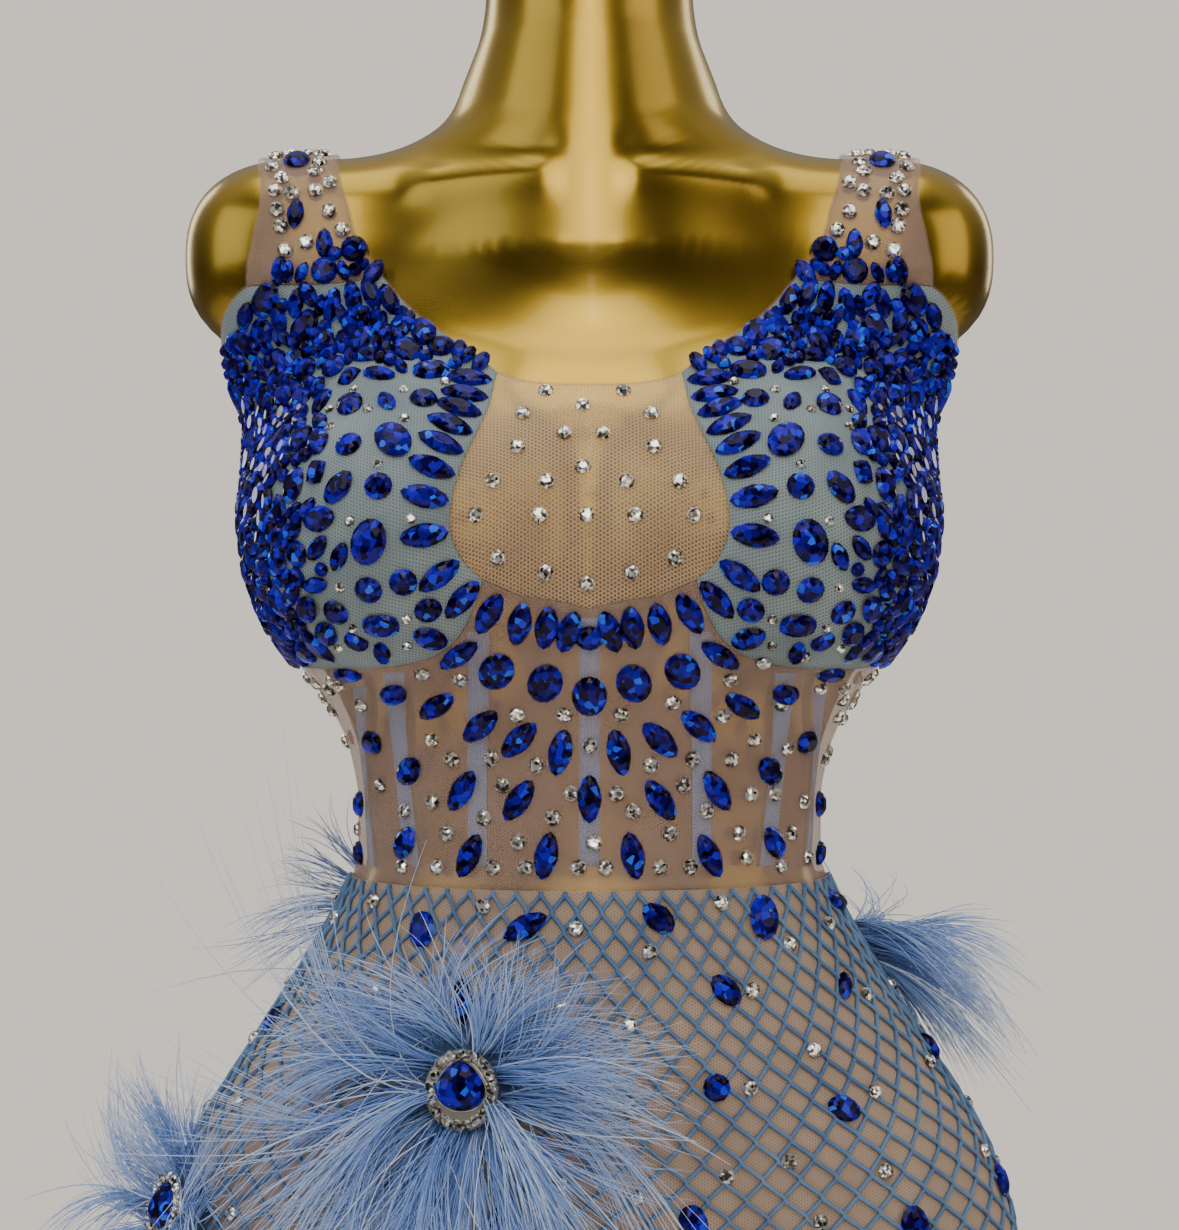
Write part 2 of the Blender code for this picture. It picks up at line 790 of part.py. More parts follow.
def triangulated(outline, others, loops):
    """Triangles of the chart over an outline, through other points and closed loops."""
    points = [Vector(p) for p in outline]
    edges = []
    faces = [list(range(len(outline)))]
    levels = [0] * len(outline)
    for loop, level in loops:
        first = len(points)
        points += [Vector(p) for p in loop]
        levels += [level] * len(loop)
        count = len(loop)
        edges += [(first + k, first + (k + 1) % count) for k in range(count if count > 2 else count - 1)]
    points += [Vector(p) for p in others]
    levels += [0] * len(others)
    verts, _, tris, origins, _, _ = delaunay_2d_cdt(points, edges, faces, 1, 1e-4)
    heights = [max((levels[o] for o in origin), default=0) for origin in origins]
    found = {o: k for k, origin in enumerate(origins) for o in origin}
    return np.array([tuple(v) for v in verts]), tris, np.array(heights, float), found


def wall_mesh(name, outline, finish, stones=(), spread=1.0, thickness=WALL, clearance=None):
    """A closed wall over a chart outline, with its stones raised in the outer points."""
    outline = drawn_in(outline, SEAM_GAP / 2)
    stones = chosen(stones, outline)
    loops = [(stone.outline, 0) for stone in stones] + [(stone.table, 1) for stone in stones]
    bm = bmesh.new()
    rims = []
    for outer in (True, False):
        grid = grid_points(outline, spread * (1 if outer else INNER_SPREAD), stones if outer else ())
        chart, tris, raised, found = triangulated(outline, grid, loops if outer else [])
        points, out = surface(chart)
        lift = clearance_at(points[:, 2]) if clearance is None else np.full(len(points), clearance)
        if outer:
            lift = lift + thickness + raised * STONE_HEIGHT
        verts = [bm.verts.new(p) for p in (points + out * lift[:, None]) * MM]
        for tri in tris:
            bm.faces.new([verts[i] for i in (tri if outer else reversed(tri))])
        rims.append([verts[found[k]] for k in range(len(outline))])
    outer_rim, inner_rim = rims
    for k in range(len(outline)):
        after = (k + 1) % len(outline)
        bm.faces.new((outer_rim[after], outer_rim[k], inner_rim[k], inner_rim[after]))
    finished(as_object(name, bm), finish)


def as_object(name, bm):
    """The mesh as an object of the part, in triangles that face out."""
    bmesh.ops.triangulate(bm, faces=[f for f in bm.faces if len(f.verts) > 3])
    bmesh.ops.recalc_face_normals(bm, faces=bm.faces)
    mesh = bpy.data.meshes.new(name)
    bm.to_mesh(mesh)
    bm.free()
    mesh.shade_smooth()
    mesh.set_sharp_from_angle(angle=math.radians(SHARP_ANGLE))
    obj = bpy.data.objects.new(name, mesh)
    collection.objects.link(obj)
    return obj


def finished(obj, finish):
    colour, metallic, roughness = FINISHES[finish]
    material = bpy.data.materials.new(obj.name + "_" + finish)
    material.use_nodes = True
    shader = material.node_tree.nodes["Principled BSDF"]
    shader.inputs["Base Color"].default_value = (*colour, 1)
    shader.inputs["Metallic"].default_value = metallic
    shader.inputs["Roughness"].default_value = roughness
    obj.data.materials.append(material)


def form_turns():
    """The columns' angles round the form, closer at the sides."""
    even = np.arange(FORM_COLUMNS) * 2 * math.pi / FORM_COLUMNS
    return gathered(even * CHART_WIDTH) / CHART_WIDTH


def ring_at(z, inset=0.0):
    """A level ring of the form at height z."""
    turns = form_turns()
    starts = np.tile((0, 0, float(z)), (FORM_COLUMNS, 1))
    directions = np.c_[np.sin(turns), -np.cos(turns), np.zeros(FORM_COLUMNS)]
    reach = cast(form_field, starts, directions)
    return starts + directions * (reach - inset)[:, None]


def loft(name, rings, finish):
    """A closed solid through rings of points, with flat ends."""
    bm = bmesh.new()
    verts = [[bm.verts.new(p) for p in np.asarray(ring) * MM] for ring in rings]
    count = len(rings[0])
    for low, high in zip(verts, verts[1:]):
        for k in range(count):
            after = (k + 1) % count
            bm.faces.new((low[k], low[after], high[after], high[k]))
    bm.faces.new(verts[0][::-1])
    bm.faces.new(verts[-1])
    finished(as_object(name, bm), finish)


def make_form():
    """The limbless form: rings from the flat underside up to the neck's flat cap."""
    rings = [ring_at(0, FORM_EDGE), ring_at(FORM_EDGE)]
    rings += [ring_at(z) for z in FORM_LOW_ROWS + FORM_MIDDLE_ROWS]
    across = form_turns() * CHART_WIDTH
    for rise in FORM_RISES:
        chart = np.c_[across, np.full(FORM_COLUMNS, CHEST + CHART_RISE * math.radians(rise))]
        rings.append(surface(chart, form_field)[0])
    rings += [ring_at(z) for z in FORM_NECK_ROWS]
    rings.append(ring_at(NECK["top_z"], FORM_EDGE))
    loft("dress_form", rings, "gold")


def make_cloth():
    """All the walls, cut along shared seams. Each line runs between two corners of the right half."""
    half = math.pi / 2 * CHART_WIDTH
    neck_bib = edge(NECK_EDGE[:3])
    neck_cup = edge(NECK_EDGE[2:])
    strap_seam = edge(STRAP_SEAM)
    armhole = edge(ARMHOLE_FRONT)
    side_cup = upright_line(half, armhole[-1][1], UNDERBUST_SIDE)
    underbust = edge(UNDERBUST)
    ring_upper = edge(RING_UPPER)
    ring_lower = edge(RING_LOWER)
    side_middle = upright_line(half, UNDERBUST_SIDE, HIP_SEAM)
    hip_front = level_line(half, -half, HIP_SEAM)
    side_skirt = upright_line(half, HIP_SEAM, HEM)
    hem_front = level_line(half, -half, HEM)
    strap_inner = edge(STRAP_INNER)
    strap_outer = edge(STRAP_OUTER)
    strap_back = edge(STRAP_BACK_SEAM)
    back_neck = edge(BACK_NECK)
    armhole_back = edge(ARMHOLE_BACK)
    hip_back = level_line(3 * half, half, HIP_SEAM)
    side_skirt_left = upright_line(3 * half, HIP_SEAM, HEM)
    hem_back = level_line(3 * half, half, HEM)

    cup = loop_of(neck_cup, strap_seam, armhole, side_cup, underbust, ring_upper[::-1])
    strap = loop_of(strap_inner, strap_back, strap_outer[::-1], strap_seam[::-1])
    bib = loop_of(
        neck_bib,
        ring_upper,
        ring_lower,
        mirrored(ring_lower),
        mirrored(ring_upper),
        mirrored(neck_bib),
    )
    midriff = loop_of(
        ring_lower[::-1],
        underbust[::-1],
        side_middle,
        hip_front,
        mirrored(side_middle),
        mirrored(underbust[::-1]),
        mirrored(ring_lower[::-1]),
    )
    back = loop_of(
        back_neck,
        mirrored(back_neck, True),
        mirrored(strap_back[::-1], True),
        mirrored(armhole_back[::-1], True),
        mirrored(side_cup[::-1], True),
        mirrored(side_middle[::-1], True),
        hip_back,
        side_middle[::-1],
        side_cup[::-1],
        armhole_back[::-1],
        strap_back[::-1],
    )
    skirt_front = loop_of(hip_front[::-1], side_skirt, hem_front, mirrored(side_skirt))
    skirt_back = loop_of(hip_back[::-1], side_skirt_left, hem_back, side_skirt[::-1])

    ring = ring_stones(np.concatenate([ring_upper[:-1], ring_lower]))
    cup_stones = [stone for stone in ring + placed_stones(CUP_STONES, "front", True) if stone.chart[0] > 0]
    cup_stones = chosen(cup_stones, drawn_in(cup, SEAM_GAP))
    cup_stones += filling_stones(drawn_in(cup, SEAM_GAP), cup_stones)
    for side, word in ((1, "right"), (-1, "left")):
        turned = [stone.on_side(side) for stone in cup_stones]
        wall_mesh("cup_" + word, on_side(cup, side), "grey_mesh", turned)
        stones = [stone.on_side(side) for stone in placed_stones(STRAP_STONES, "front", False)]
        wall_mesh("strap_" + word, on_side(strap, side), "nude_mesh", stones)
    wall_mesh("bib", bib, "nude_mesh")
    wall_mesh("midriff", midriff, "nude_mesh", ring + placed_stones(MIDRIFF_STONES, "front", True))
    wall_mesh("back", back, "nude_mesh", placed_stones(BACK_STONES, "back", True), BACK_SPREAD)
    front = clear_of_puffs(placed_stones(SKIRT_STONES, "front", False))
    wall_mesh("skirt_front", skirt_front, "net", front)
    behind = clear_of_puffs(placed_stones(BACK_SKIRT_STONES, "back", True))
    wall_mesh("skirt_back", skirt_back, "net", behind)


def on_side(outline, side):
    return outline if side == 1 else outline * np.array((-1, 1))


def clear_of_puffs(stones):
    """The stones that no feather puff's button covers."""
    spots = [(surface([seen(*puff[1:4])])[0][0], puff[4]) for puff in PUFFS]
    return [
        stone
        for stone in stones
        if all(np.linalg.norm(stone.point - spot) > radius + PUFF["stone_gap"] for spot, radius in spots)
    ]


def make_bands():
    """Seven boning bands that show through the midriff, between it and the form."""
    for name, low_x, high_x, top in BANDS:
        for side, word in ((1, "_right"), (-1, "_left")) if high_x else ((1, ""),):
            rows = np.linspace(0, 1, BAND["rows"])
            xs = side * (low_x + (high_x - low_x) * rows)
            zs = BAND["bottom"] + (top - BAND["bottom"]) * rows
            line = np.array([seen("front", x, z) for x, z in zip(xs, zs)])
            radius = np.hypot(*surface(line)[0][:, :2].T)
            reach = BAND["width"] / 2 * CHART_WIDTH / radius
            right = line + np.c_[reach, np.zeros_like(reach)]
            left = line - np.c_[reach, np.zeros_like(reach)]
            outline = np.concatenate([right, left[::-1]])
            wall_mesh(name + word, outline, "band", (), 1, BAND["thickness"], BAND["clearance"])


def puff_frame(view, first, second):
    """Point on the cloth's outside, with its normal, level and upward directions, and the chart steps."""
    chart = seen(view, first, second)
    point, out, to_chart = tangent_frame(chart)
    level = np.cross((0, 0, 1.0), out)
    level /= np.linalg.norm(level)
    return np.array(chart), point, out, level, np.cross(out, level), to_chart


def button_grid(rings):
    """Points of a disc of radius 1 in rings, and its triangles."""
    points = [(0.0, 0.0)]
    for ring in range(1, rings + 1):
        for k in range(6 * ring):
            angle = 2 * math.pi * k / (6 * ring)
            points.append((ring / rings * math.cos(angle), ring / rings * math.sin(angle)))
    verts, _, tris, origins, _, _ = delaunay_2d_cdt([Vector(p) for p in points], [], [], 0, 1e-6)
    return np.array([tuple(v) for v in verts]), tris


def lock_path(root, away, out, length, rise):
    """Middle and tip of a lock that springs from its root, bends out and sags."""
    points = []
    first, loss = LOCK["bend"]
    for s in (LOCK["middle"], 1.0):
        up = length * s * math.sin(rise) * (first - loss * s)
        p = root + away * (length * s * math.cos(rise)) + out * up
        p[2] -= LOCK["droop"] * length * s * s
        for _ in range(3):
            lack = LOCK["least_height"] - dress_field(p[None])[0]
            if lack > 0:
                p = p + normals(dress_field, p[None])[0] * lack
        points.append(p)
    return points


def make_puffs():
    """Ostrich puffs: a felt button whose rim faces are drawn out into tapered locks."""
    draw = random.Random(LOCK["seed"])
    for name, view, first, second, radius, rings, locks, reach, bare, bare_side in PUFFS:
        chart, _, out, level, up, to_chart = puff_frame(view, first, second)
        disc, tris = button_grid(rings)
        moves = level * disc[:, :1] * radius + up * disc[:, 1:] * radius
        under, normal = surface(chart + moves @ to_chart.T)
        foot = clearance_at(under[:, 2]) + WALL + PUFF["gap"]
        away = np.linalg.norm(disc, axis=1)
        domed = np.maximum(1 - (away / max(bare, PUFF["dome_least"])) ** 2, 0)
        dome = PUFF["thickness"] + PUFF["dome"] * domed
        bm = bmesh.new()
        low = [bm.verts.new(p) for p in (under + normal * foot[:, None]) * MM]
        high = [bm.verts.new(p) for p in (under + normal * (foot + dome)[:, None]) * MM]
        rim = [k for k in range(len(disc)) if math.isclose(away[k], 1, abs_tol=1e-3)]
        rim.sort(key=lambda k: math.atan2(disc[k][1], disc[k][0]))
        for k, after in zip(rim, rim[1:] + rim[:1]):
            bm.faces.new((low[k], low[after], high[after], high[k]))
        springing = []
        for tri in tris:
            bm.faces.new([low[i] for i in reversed(tri)])
            centre = disc[list(tri)].mean(axis=0)
            if np.linalg.norm(centre) > bare:
                springing.append((tri, centre))
            else:
                bm.faces.new([high[i] for i in tri])
        side = np.array((math.cos(math.radians(bare_side)), math.sin(math.radians(bare_side))))
        springing.sort(key=lambda face: face[1] @ side)
        for k, (tri, centre) in enumerate(springing):
            if k < locks:
                make_lock(bm, [high[i] for i in tri], centre, out, level, up, reach, draw)
            else:
                bm.faces.new([high[i] for i in tri])
        finished(as_object(name, bm), "feather")


def make_lock(bm, base, centre, out, level, up, reach, draw):
    """One three-sided lock drawn out of a face of the button."""
    corners = [np.array(v.co) / MM for v in base]
    root = sum(corners) / 3
    inward = 1 - np.linalg.norm(centre)
    stray = draw.uniform(-LOCK["spread"], LOCK["spread"])
    angle = math.atan2(centre[1], centre[0]) + math.radians(stray)
    away = level * math.cos(angle) + up * math.sin(angle)
    length = reach * draw.uniform(*LOCK["lengths"])
    rise = LOCK["low_rise"] + (LOCK["high_rise"] - LOCK["low_rise"]) * inward
    rise = math.radians(rise + draw.uniform(-LOCK["rise_spread"], LOCK["rise_spread"]))
    middle, tip = lock_path(root, away, out, length, rise)
    turn = Vector(out).rotation_difference(Vector(tip - root))
    ring = []
    for corner in corners:
        move = Vector(corner - root)
        move.rotate(turn)
        ring.append(bm.verts.new((middle + np.array(move) * LOCK["taper"]) * MM))
    end = bm.verts.new(tip * MM)
    for k in range(3):
        after = (k + 1) % 3
        bm.faces.new((base[k], base[after], ring[after], ring[k]))
        bm.faces.new((ring[k], ring[after], end))


def teardrop(angle):
    """How far a drop's outline reaches at an angle from its point, for a half height of 1."""
    return 1 - JEWEL["point"] + JEWEL["point"] * max(math.cos(angle), 0) ** 3


def make_jewels():
    """A drop stone in a ring of crystals, on the button of a puff."""
    puffs = {puff[0]: puff for puff in PUFFS}
    for name, puff in JEWELS:
        _, point, out, level, up, _ = puff_frame(*puffs[puff][1:4])
        seat = clearance_at(point[2]) + WALL + 2 * PUFF["gap"] + PUFF["thickness"] + PUFF["dome"]
        rings = []
        for height, grow, stone in JEWEL["rings"]:
            ring = []
            for k in range(JEWEL["sides"]):
                angle = 2 * math.pi * k / JEWEL["sides"]
                wide, tall = (JEWEL["stone_width"], JEWEL["stone_height"]) if stone else (
                    JEWEL["width"],
                    JEWEL["height"],
                )
                shape = teardrop(angle) if stone else 1
                u = -math.sin(angle) * wide / 2 * grow
                v = math.cos(angle) * tall / 2 * grow * shape
                ring.append(point + level * u + up * v + out * (seat + height))
            rings.append(ring)
        loft(name, rings, "stone")


def clear_scene():
    for obj in list(bpy.data.objects):
        bpy.data.objects.remove(obj, do_unlink=True)


clear_scene()
collection = bpy.data.collections.new("feather_dress")
bpy.context.scene.collection.children.link(collection)
make_form()
make_cloth()
make_bands()
make_puffs()
make_jewels()
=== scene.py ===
# A sleeveless feather dress on a limbless gold dress form.
# Tables are in millimetres: x to the viewer's right, z up from the form's underside, front at -y.
# Meshes are made in metres. Left and right are as seen from the front.
import json
import math
import random

import bmesh
import bpy
import numpy as np
from mathutils import Matrix, Vector
from mathutils.geometry import delaunay_2d_cdt

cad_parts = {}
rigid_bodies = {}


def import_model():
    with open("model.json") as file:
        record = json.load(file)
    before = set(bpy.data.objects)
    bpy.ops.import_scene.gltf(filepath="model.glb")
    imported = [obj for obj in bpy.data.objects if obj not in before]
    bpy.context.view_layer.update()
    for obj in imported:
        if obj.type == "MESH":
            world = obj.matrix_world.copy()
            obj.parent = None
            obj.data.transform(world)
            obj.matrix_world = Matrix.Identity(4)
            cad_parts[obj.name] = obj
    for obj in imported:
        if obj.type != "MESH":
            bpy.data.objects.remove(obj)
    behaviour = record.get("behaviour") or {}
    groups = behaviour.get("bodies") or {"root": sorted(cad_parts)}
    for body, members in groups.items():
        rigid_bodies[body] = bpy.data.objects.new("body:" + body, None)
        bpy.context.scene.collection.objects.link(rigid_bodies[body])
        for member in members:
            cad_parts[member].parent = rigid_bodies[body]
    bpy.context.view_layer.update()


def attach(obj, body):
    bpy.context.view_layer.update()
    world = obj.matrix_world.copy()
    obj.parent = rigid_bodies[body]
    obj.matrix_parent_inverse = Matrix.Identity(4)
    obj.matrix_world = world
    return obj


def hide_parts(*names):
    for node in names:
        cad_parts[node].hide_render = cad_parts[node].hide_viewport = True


mm = 0.001
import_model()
print("frame loaded")


# The body that everything lies on: the same masses as the solids
body = {
    # height, half width, front depth, back depth
    "sections": (
        (0, 155, 78, 78),
        (60, 162, 82, 84),
        (125, 172, 86, 92),
        (185, 182, 90, 102),
        (235, 188, 92, 112),
        (275, 191, 95, 118),
        (328, 187, 97, 118),
        (364, 176, 96, 112),
        (409, 149, 92, 96),
        (454, 120, 84, 76),
        (477, 107, 80, 70),
        (499, 99.5, 77, 66),
        (522, 99.5, 77, 66),
        (544, 103, 78, 69),
        (567, 111, 80, 74),
        (589, 121, 81, 79),
        (612, 134, 82, 84),
        (634, 141, 81, 87),
        (657, 145, 80, 88),
        (702, 146, 72, 83),
        (735, 135, 56, 68),
        (765, 105, 36, 46),
        (790, 60, 16, 22),
        (810, 20, 4, 6),
    ),
    "squareness": 2.15,
    "torsoTop": 812,
    "shoulder": {"halfLength": 128, "end": 54, "depth": 46, "height": 45, "y": 6, "z": 765, "power": 2.4},
    "neck": {"halfWidth": 46.5, "depthRatio": 1.08, "y": 8, "fadesBelow": 765, "topZ": 930},
    "bust": {"x": 80, "y": -56, "z": 640, "radii": (62, 68, 62)},
    "bridge": {"y": -46, "z": 638, "radii": (70, 66, 68), "blend": 30},
    "formBlend": {"shoulder": 34, "neck": 72, "bust": 34},
    "clothBlend": {"shoulder": 52, "neck": 72, "bust": 46},
}
# The chart: turn about the body across, height or rise up
chart = {"chest": 655, "width": 140, "rise": 170, "eye": (0, -1500, 605), "behind": 60}
casting = {"far": 300, "pace": 4, "closePace": 2, "halvings": 22, "normalStep": 0.5}
# The grid over which distances along the cloth are measured; turns count in half turns
flatGrid = {"turns": (-0.6, 1.6), "turnCount": 111, "above": 260, "step": 15.0}
halfTurn = math.pi * chart["width"]
quarterTurn = halfTurn / 2


def smoothTable(rows):
    # runs smoothly through a table's rows with no overshoot
    table = np.array(rows, float)
    x, y = table[:, 0], table[:, 1:]
    h = np.diff(x)
    slope = np.diff(y, axis=0) / h[:, None]
    m = np.zeros_like(y)
    m[0], m[-1] = slope[0], slope[-1]
    for i in range(1, len(x) - 1):
        before, after = slope[i - 1], slope[i]
        w1, w2 = 2 * h[i] + h[i - 1], h[i] + 2 * h[i - 1]
        same = before * after > 0
        safeBefore = np.where(same, before, 1)
        safeAfter = np.where(same, after, 1)
        m[i] = np.where(same, (w1 + w2) / (w1 / safeBefore + w2 / safeAfter), 0)

    def value(q):
        q = np.clip(q, x[0], x[-1])
        i = np.clip(np.searchsorted(x, q) - 1, 0, len(x) - 2)
        t = ((q - x[i]) / h[i])[:, None]
        step = h[i][:, None]
        start = (1 + 2 * t) * (1 - t) ** 2 * y[i] + t * (1 - t) ** 2 * step * m[i]
        return start + t * t * (3 - 2 * t) * y[i + 1] + t * t * (t - 1) * step * m[i + 1]

    return value


sectionAt = smoothTable(body["sections"])


def blended(a, b, width):
    h = np.maximum(width - np.abs(a - b), 0) / width
    return np.minimum(a, b) - h * h * width / 4


def ellipsoid(p, centre, radii):
    q = (p - np.array(centre)) / np.array(radii)
    return (np.sqrt((q * q).sum(axis=1)) - 1) * min(radii)


def formField(p, blend=body["formBlend"]):
    # negative inside the form
    shoulder, neckSize, bust = body["shoulder"], body["neck"], body["bust"]
    x, y, z = p[:, 0], p[:, 1], p[:, 2]
    half, front, back = sectionAt(z).T
    depth = np.where(y < 0, front, back)
    radius = np.hypot(x, y) + 1e-9
    square = body["squareness"]
    size = (np.abs(x) / half) ** square + (np.abs(y) / depth) ** square + 1e-12
    torso = np.maximum(radius - radius / size ** (1 / square), z - body["torsoTop"])
    power = shoulder["power"]
    along = np.maximum(np.abs(x) - shoulder["halfLength"], 0) / shoulder["end"]
    across = np.abs(y - shoulder["y"]) / shoulder["depth"]
    up = np.abs(z - shoulder["z"]) / shoulder["height"]
    bar = ((along**power + across**power + up**power + 1e-9) ** (1 / power) - 1) * shoulder["height"]
    neck = np.hypot(x, (y - neckSize["y"]) / neckSize["depthRatio"]) - neckSize["halfWidth"]
    neck = neck + np.maximum(neckSize["fadesBelow"] - z, 0)
    whole = blended(blended(torso, bar, blend["shoulder"]), neck, blend["neck"])
    for side in (-1, 1):
        one = ellipsoid(p, (side * bust["x"], bust["y"], bust["z"]), bust["radii"])
        whole = blended(whole, one, blend["bust"])
    return whole


def dressField(p):
    # the form with its creases and the hollow of its bust spanned, as taut cloth spans them
    bridge = body["bridge"]
    span = ellipsoid(p, (0, bridge["y"], bridge["z"]), bridge["radii"])
    return blended(formField(p, body["clothBlend"]), span, bridge["blend"])


def castLines(field, starts, directions, reach=casting["far"], pace=casting["pace"]):
    # how far from its start each line first meets the field, coming from far out; 0 where it misses
    steps = math.ceil(reach / pace)
    last = np.full(len(starts), float(reach))
    near = np.zeros(len(starts))
    found = np.zeros(len(starts), bool)
    for k in range(1, steps + 1):
        at = reach * (1 - k / steps)
        left = np.flatnonzero(~found)
        if len(left) == 0:
            break
        inside = field(starts[left] + directions[left] * at) < 0
        near[left[inside]] = at
        found[left[inside]] = True
        last[left[~inside]] = at
    for _ in range(casting["halvings"]):
        middle = (near + last) / 2
        inside = field(starts + directions * middle[:, None]) < 0
        near = np.where(inside, middle, near)
        last = np.where(inside, last, middle)
    return near


def normalsOf(field, points):
    n = np.zeros_like(points)
    for axis in range(3):
        move = np.zeros(3)
        move[axis] = casting["normalStep"]
        n[:, axis] = field(points + move) - field(points - move)
    return n / np.linalg.norm(n, axis=1)[:, None]


def surfaceOf(spots, field=dressField):
    # points of the surface over chart spots, and its normals there
    spots = np.atleast_2d(np.asarray(spots, float))
    turn = spots[:, 0] / chart["width"]
    rise = np.maximum(spots[:, 1] - chart["chest"], 0) / chart["rise"]
    starts = np.zeros((len(spots), 3))
    starts[:, 2] = np.minimum(spots[:, 1], chart["chest"])
    directions = np.c_[np.sin(turn) * np.cos(rise), -np.cos(turn) * np.cos(rise), np.sin(rise)]
    points = starts + directions * castLines(field, starts, directions)[:, None]
    return points, normalsOf(field, points)


def chartOf(points):
    x, y, z = points.T
    turn = np.arctan2(x, -y)
    high = chart["chest"] + chart["rise"] * np.arctan2(z - chart["chest"], np.hypot(x, y))
    return np.c_[turn * chart["width"], np.where(z <= chart["chest"], z, high)]


def seen(view, pairs):
    # chart spots seen at pairs of numbers: (x, z) from the front or back, (x, y) from the top, or
    # (degrees round the body, z)
    pairs = np.atleast_2d(np.asarray(pairs, float))
    count = len(pairs)
    if view == "turn":
        across = np.radians(pairs[:, 0]) * chart["width"]
        low = np.full(count, float(chart["chest"]))
        high = low + chart["rise"] * math.pi / 2
        for _ in range(casting["halvings"]):
            middle = (low + high) / 2
            under = surfaceOf(np.c_[across, middle])[0][:, 2] < pairs[:, 1]
            low, high = np.where(under, middle, low), np.where(under, high, middle)
        return np.c_[across, np.where(pairs[:, 1] <= chart["chest"], pairs[:, 1], low)]
    if view == "front":
        eye = np.array(chart["eye"], float)
        way = np.c_[pairs[:, 0], np.zeros(count), pairs[:, 1]] - eye
        length = np.linalg.norm(way, axis=1)[:, None]
        way /= length
        starts = eye + way * (length + chart["behind"])
        reach = casting["far"] + chart["behind"]
        points = starts - way * castLines(dressField, starts, -way, reach, casting["closePace"])[:, None]
    elif view == "back":
        points = np.c_[pairs[:, 0], np.zeros(count), pairs[:, 1]]
        way = np.tile((0, 1.0, 0), (count, 1))
        points[:, 1] = castLines(dressField, points, way, casting["far"], casting["closePace"])
    else:
        points = np.c_[pairs, np.full(count, float(chart["chest"]))]
        way = np.tile((0, 0, 1.0), (count, 1))
        points[:, 2] += castLines(dressField, points, way, casting["far"], casting["closePace"])
    spots = chartOf(points)
    if view == "back":
        spots[:, 0] += np.where(spots[:, 0] < 0, 2 * halfTurn, 0)
    return spots


def heldOff(z):
    # gap between form and cloth
    return np.interp(z, *np.array(cloth["gaps"], float).T)


# Cloth
cloth = {
    # height, gap between form and cloth
    "gaps": (
        (0, 2.6),
        (440, 2.6),
        (500, 3.2),
        (590, 3.2),
        (640, 2.4),
        (690, 2.4),
        (750, 1.8),
        (790, 0.9),
    ),
    "wall": 1.2,  # the solid wall's thickness, whose outside this cloth keeps
    "thickness": 0.5,
    "point": 3.6,  # distance between the cloth's points
    "rowShare": 0.87,  # distance between rows of points, as a share of that
    "edgeShare": 0.5,  # least distance from the edge, as a share of it
    "curveSteps": 24,  # steps between two rows of a seam
    "sharpest": 0.6,  # limits how far a sharp corner is drawn in
    "seamGap": 0.2,
    "hipSeam": 487,
    "hem": 60,
    "sideTop": 706,
    "underbustSide": 590,
}
# Seam and edge lines: (where it is seen from, first number, second number)
seams = {
    "neckBib": (("front", 0, 706.3), ("front", 27, 707.6), ("front", 41.4, 711.7)),
    "neckCup": (
        ("front", 41.4, 711.7),
        ("front", 53.6, 722),
        ("front", 76.1, 737.8),
        ("front", 92.5, 756),
    ),
    "strapFront": (("front", 92.5, 756), ("front", 122, 753), ("front", 153, 753)),
    "armholeFront": (("front", 153, 753), ("turn", 79.5, 739), ("turn", 84.5, 721), ("turn", 90, 706)),
    "strapInner": (
        ("front", 92.5, 756),
        ("front", 104.9, 775),
        ("front", 109.4, 791),
        ("top", 112, -22),
        ("top", 113, 6),
        ("top", 112, 34),
        ("back", 106, 782),
        ("back", 96, 758),
    ),
    "strapOuter": (
        ("front", 153, 753),
        ("front", 150.5, 776),
        ("front", 147.5, 792),
        ("top", 146, -22),
        ("top", 146, 6),
        ("top", 146, 34),
        ("back", 148, 782),
        ("back", 150, 758),
    ),
    "strapBack": (("back", 96, 758), ("back", 123, 755), ("back", 150, 758)),
    "backNeck": (
        ("back", 96, 758),
        ("back", 80, 742),
        ("back", 58, 729),
        ("back", 30, 722),
        ("back", 0, 720),
    ),
    "armholeBack": (("back", 150, 758), ("turn", 105, 740), ("turn", 97.5, 722), ("turn", 90, 706)),
    "ringUpper": (
        ("front", 41.4, 711.7),
        ("front", 45, 697.3),
        ("front", 51.3, 684.7),
        ("front", 57.6, 672.5),
        ("front", 62.1, 659.5),
        ("front", 63.9, 647.8),
        ("front", 62.1, 636.5),
        ("front", 55.8, 627.5),
        ("front", 48.6, 622),
    ),
    "ringLower": (
        ("front", 48.6, 622),
        ("front", 32.4, 615.4),
        ("front", 20.3, 613.6),
        ("front", 8, 611.5),
        ("front", 0, 609),
    ),
    "underbust": (
        ("turn", 90, 590),
        ("front", 118, 584),
        ("front", 92, 585),
        ("front", 72, 589),
        ("front", 60, 597),
        ("front", 53, 609),
        ("front", 48.6, 622),
    ),
}


def seamLine(name):
    # a smooth chart line through a seam's rows
    points = np.array([seen(view, (first, second))[0] for view, first, second in seams[name]])
    dense = []
    for i in range(len(points) - 1):
        a, b = points[i], points[i + 1]
        before = points[i - 1] if i else 2 * a - b
        after = points[i + 2] if i + 2 < len(points) else 2 * b - a
        for t in np.linspace(0, 1, cloth["curveSteps"], endpoint=False):
            bend = (2 * before - 5 * a + 4 * b - after) * t * t + (3 * a - before - 3 * b + after) * t**3
            dense.append((2 * a + (b - before) * t + bend) / 2)
    dense.append(points[-1])
    return evenly(np.array(dense))


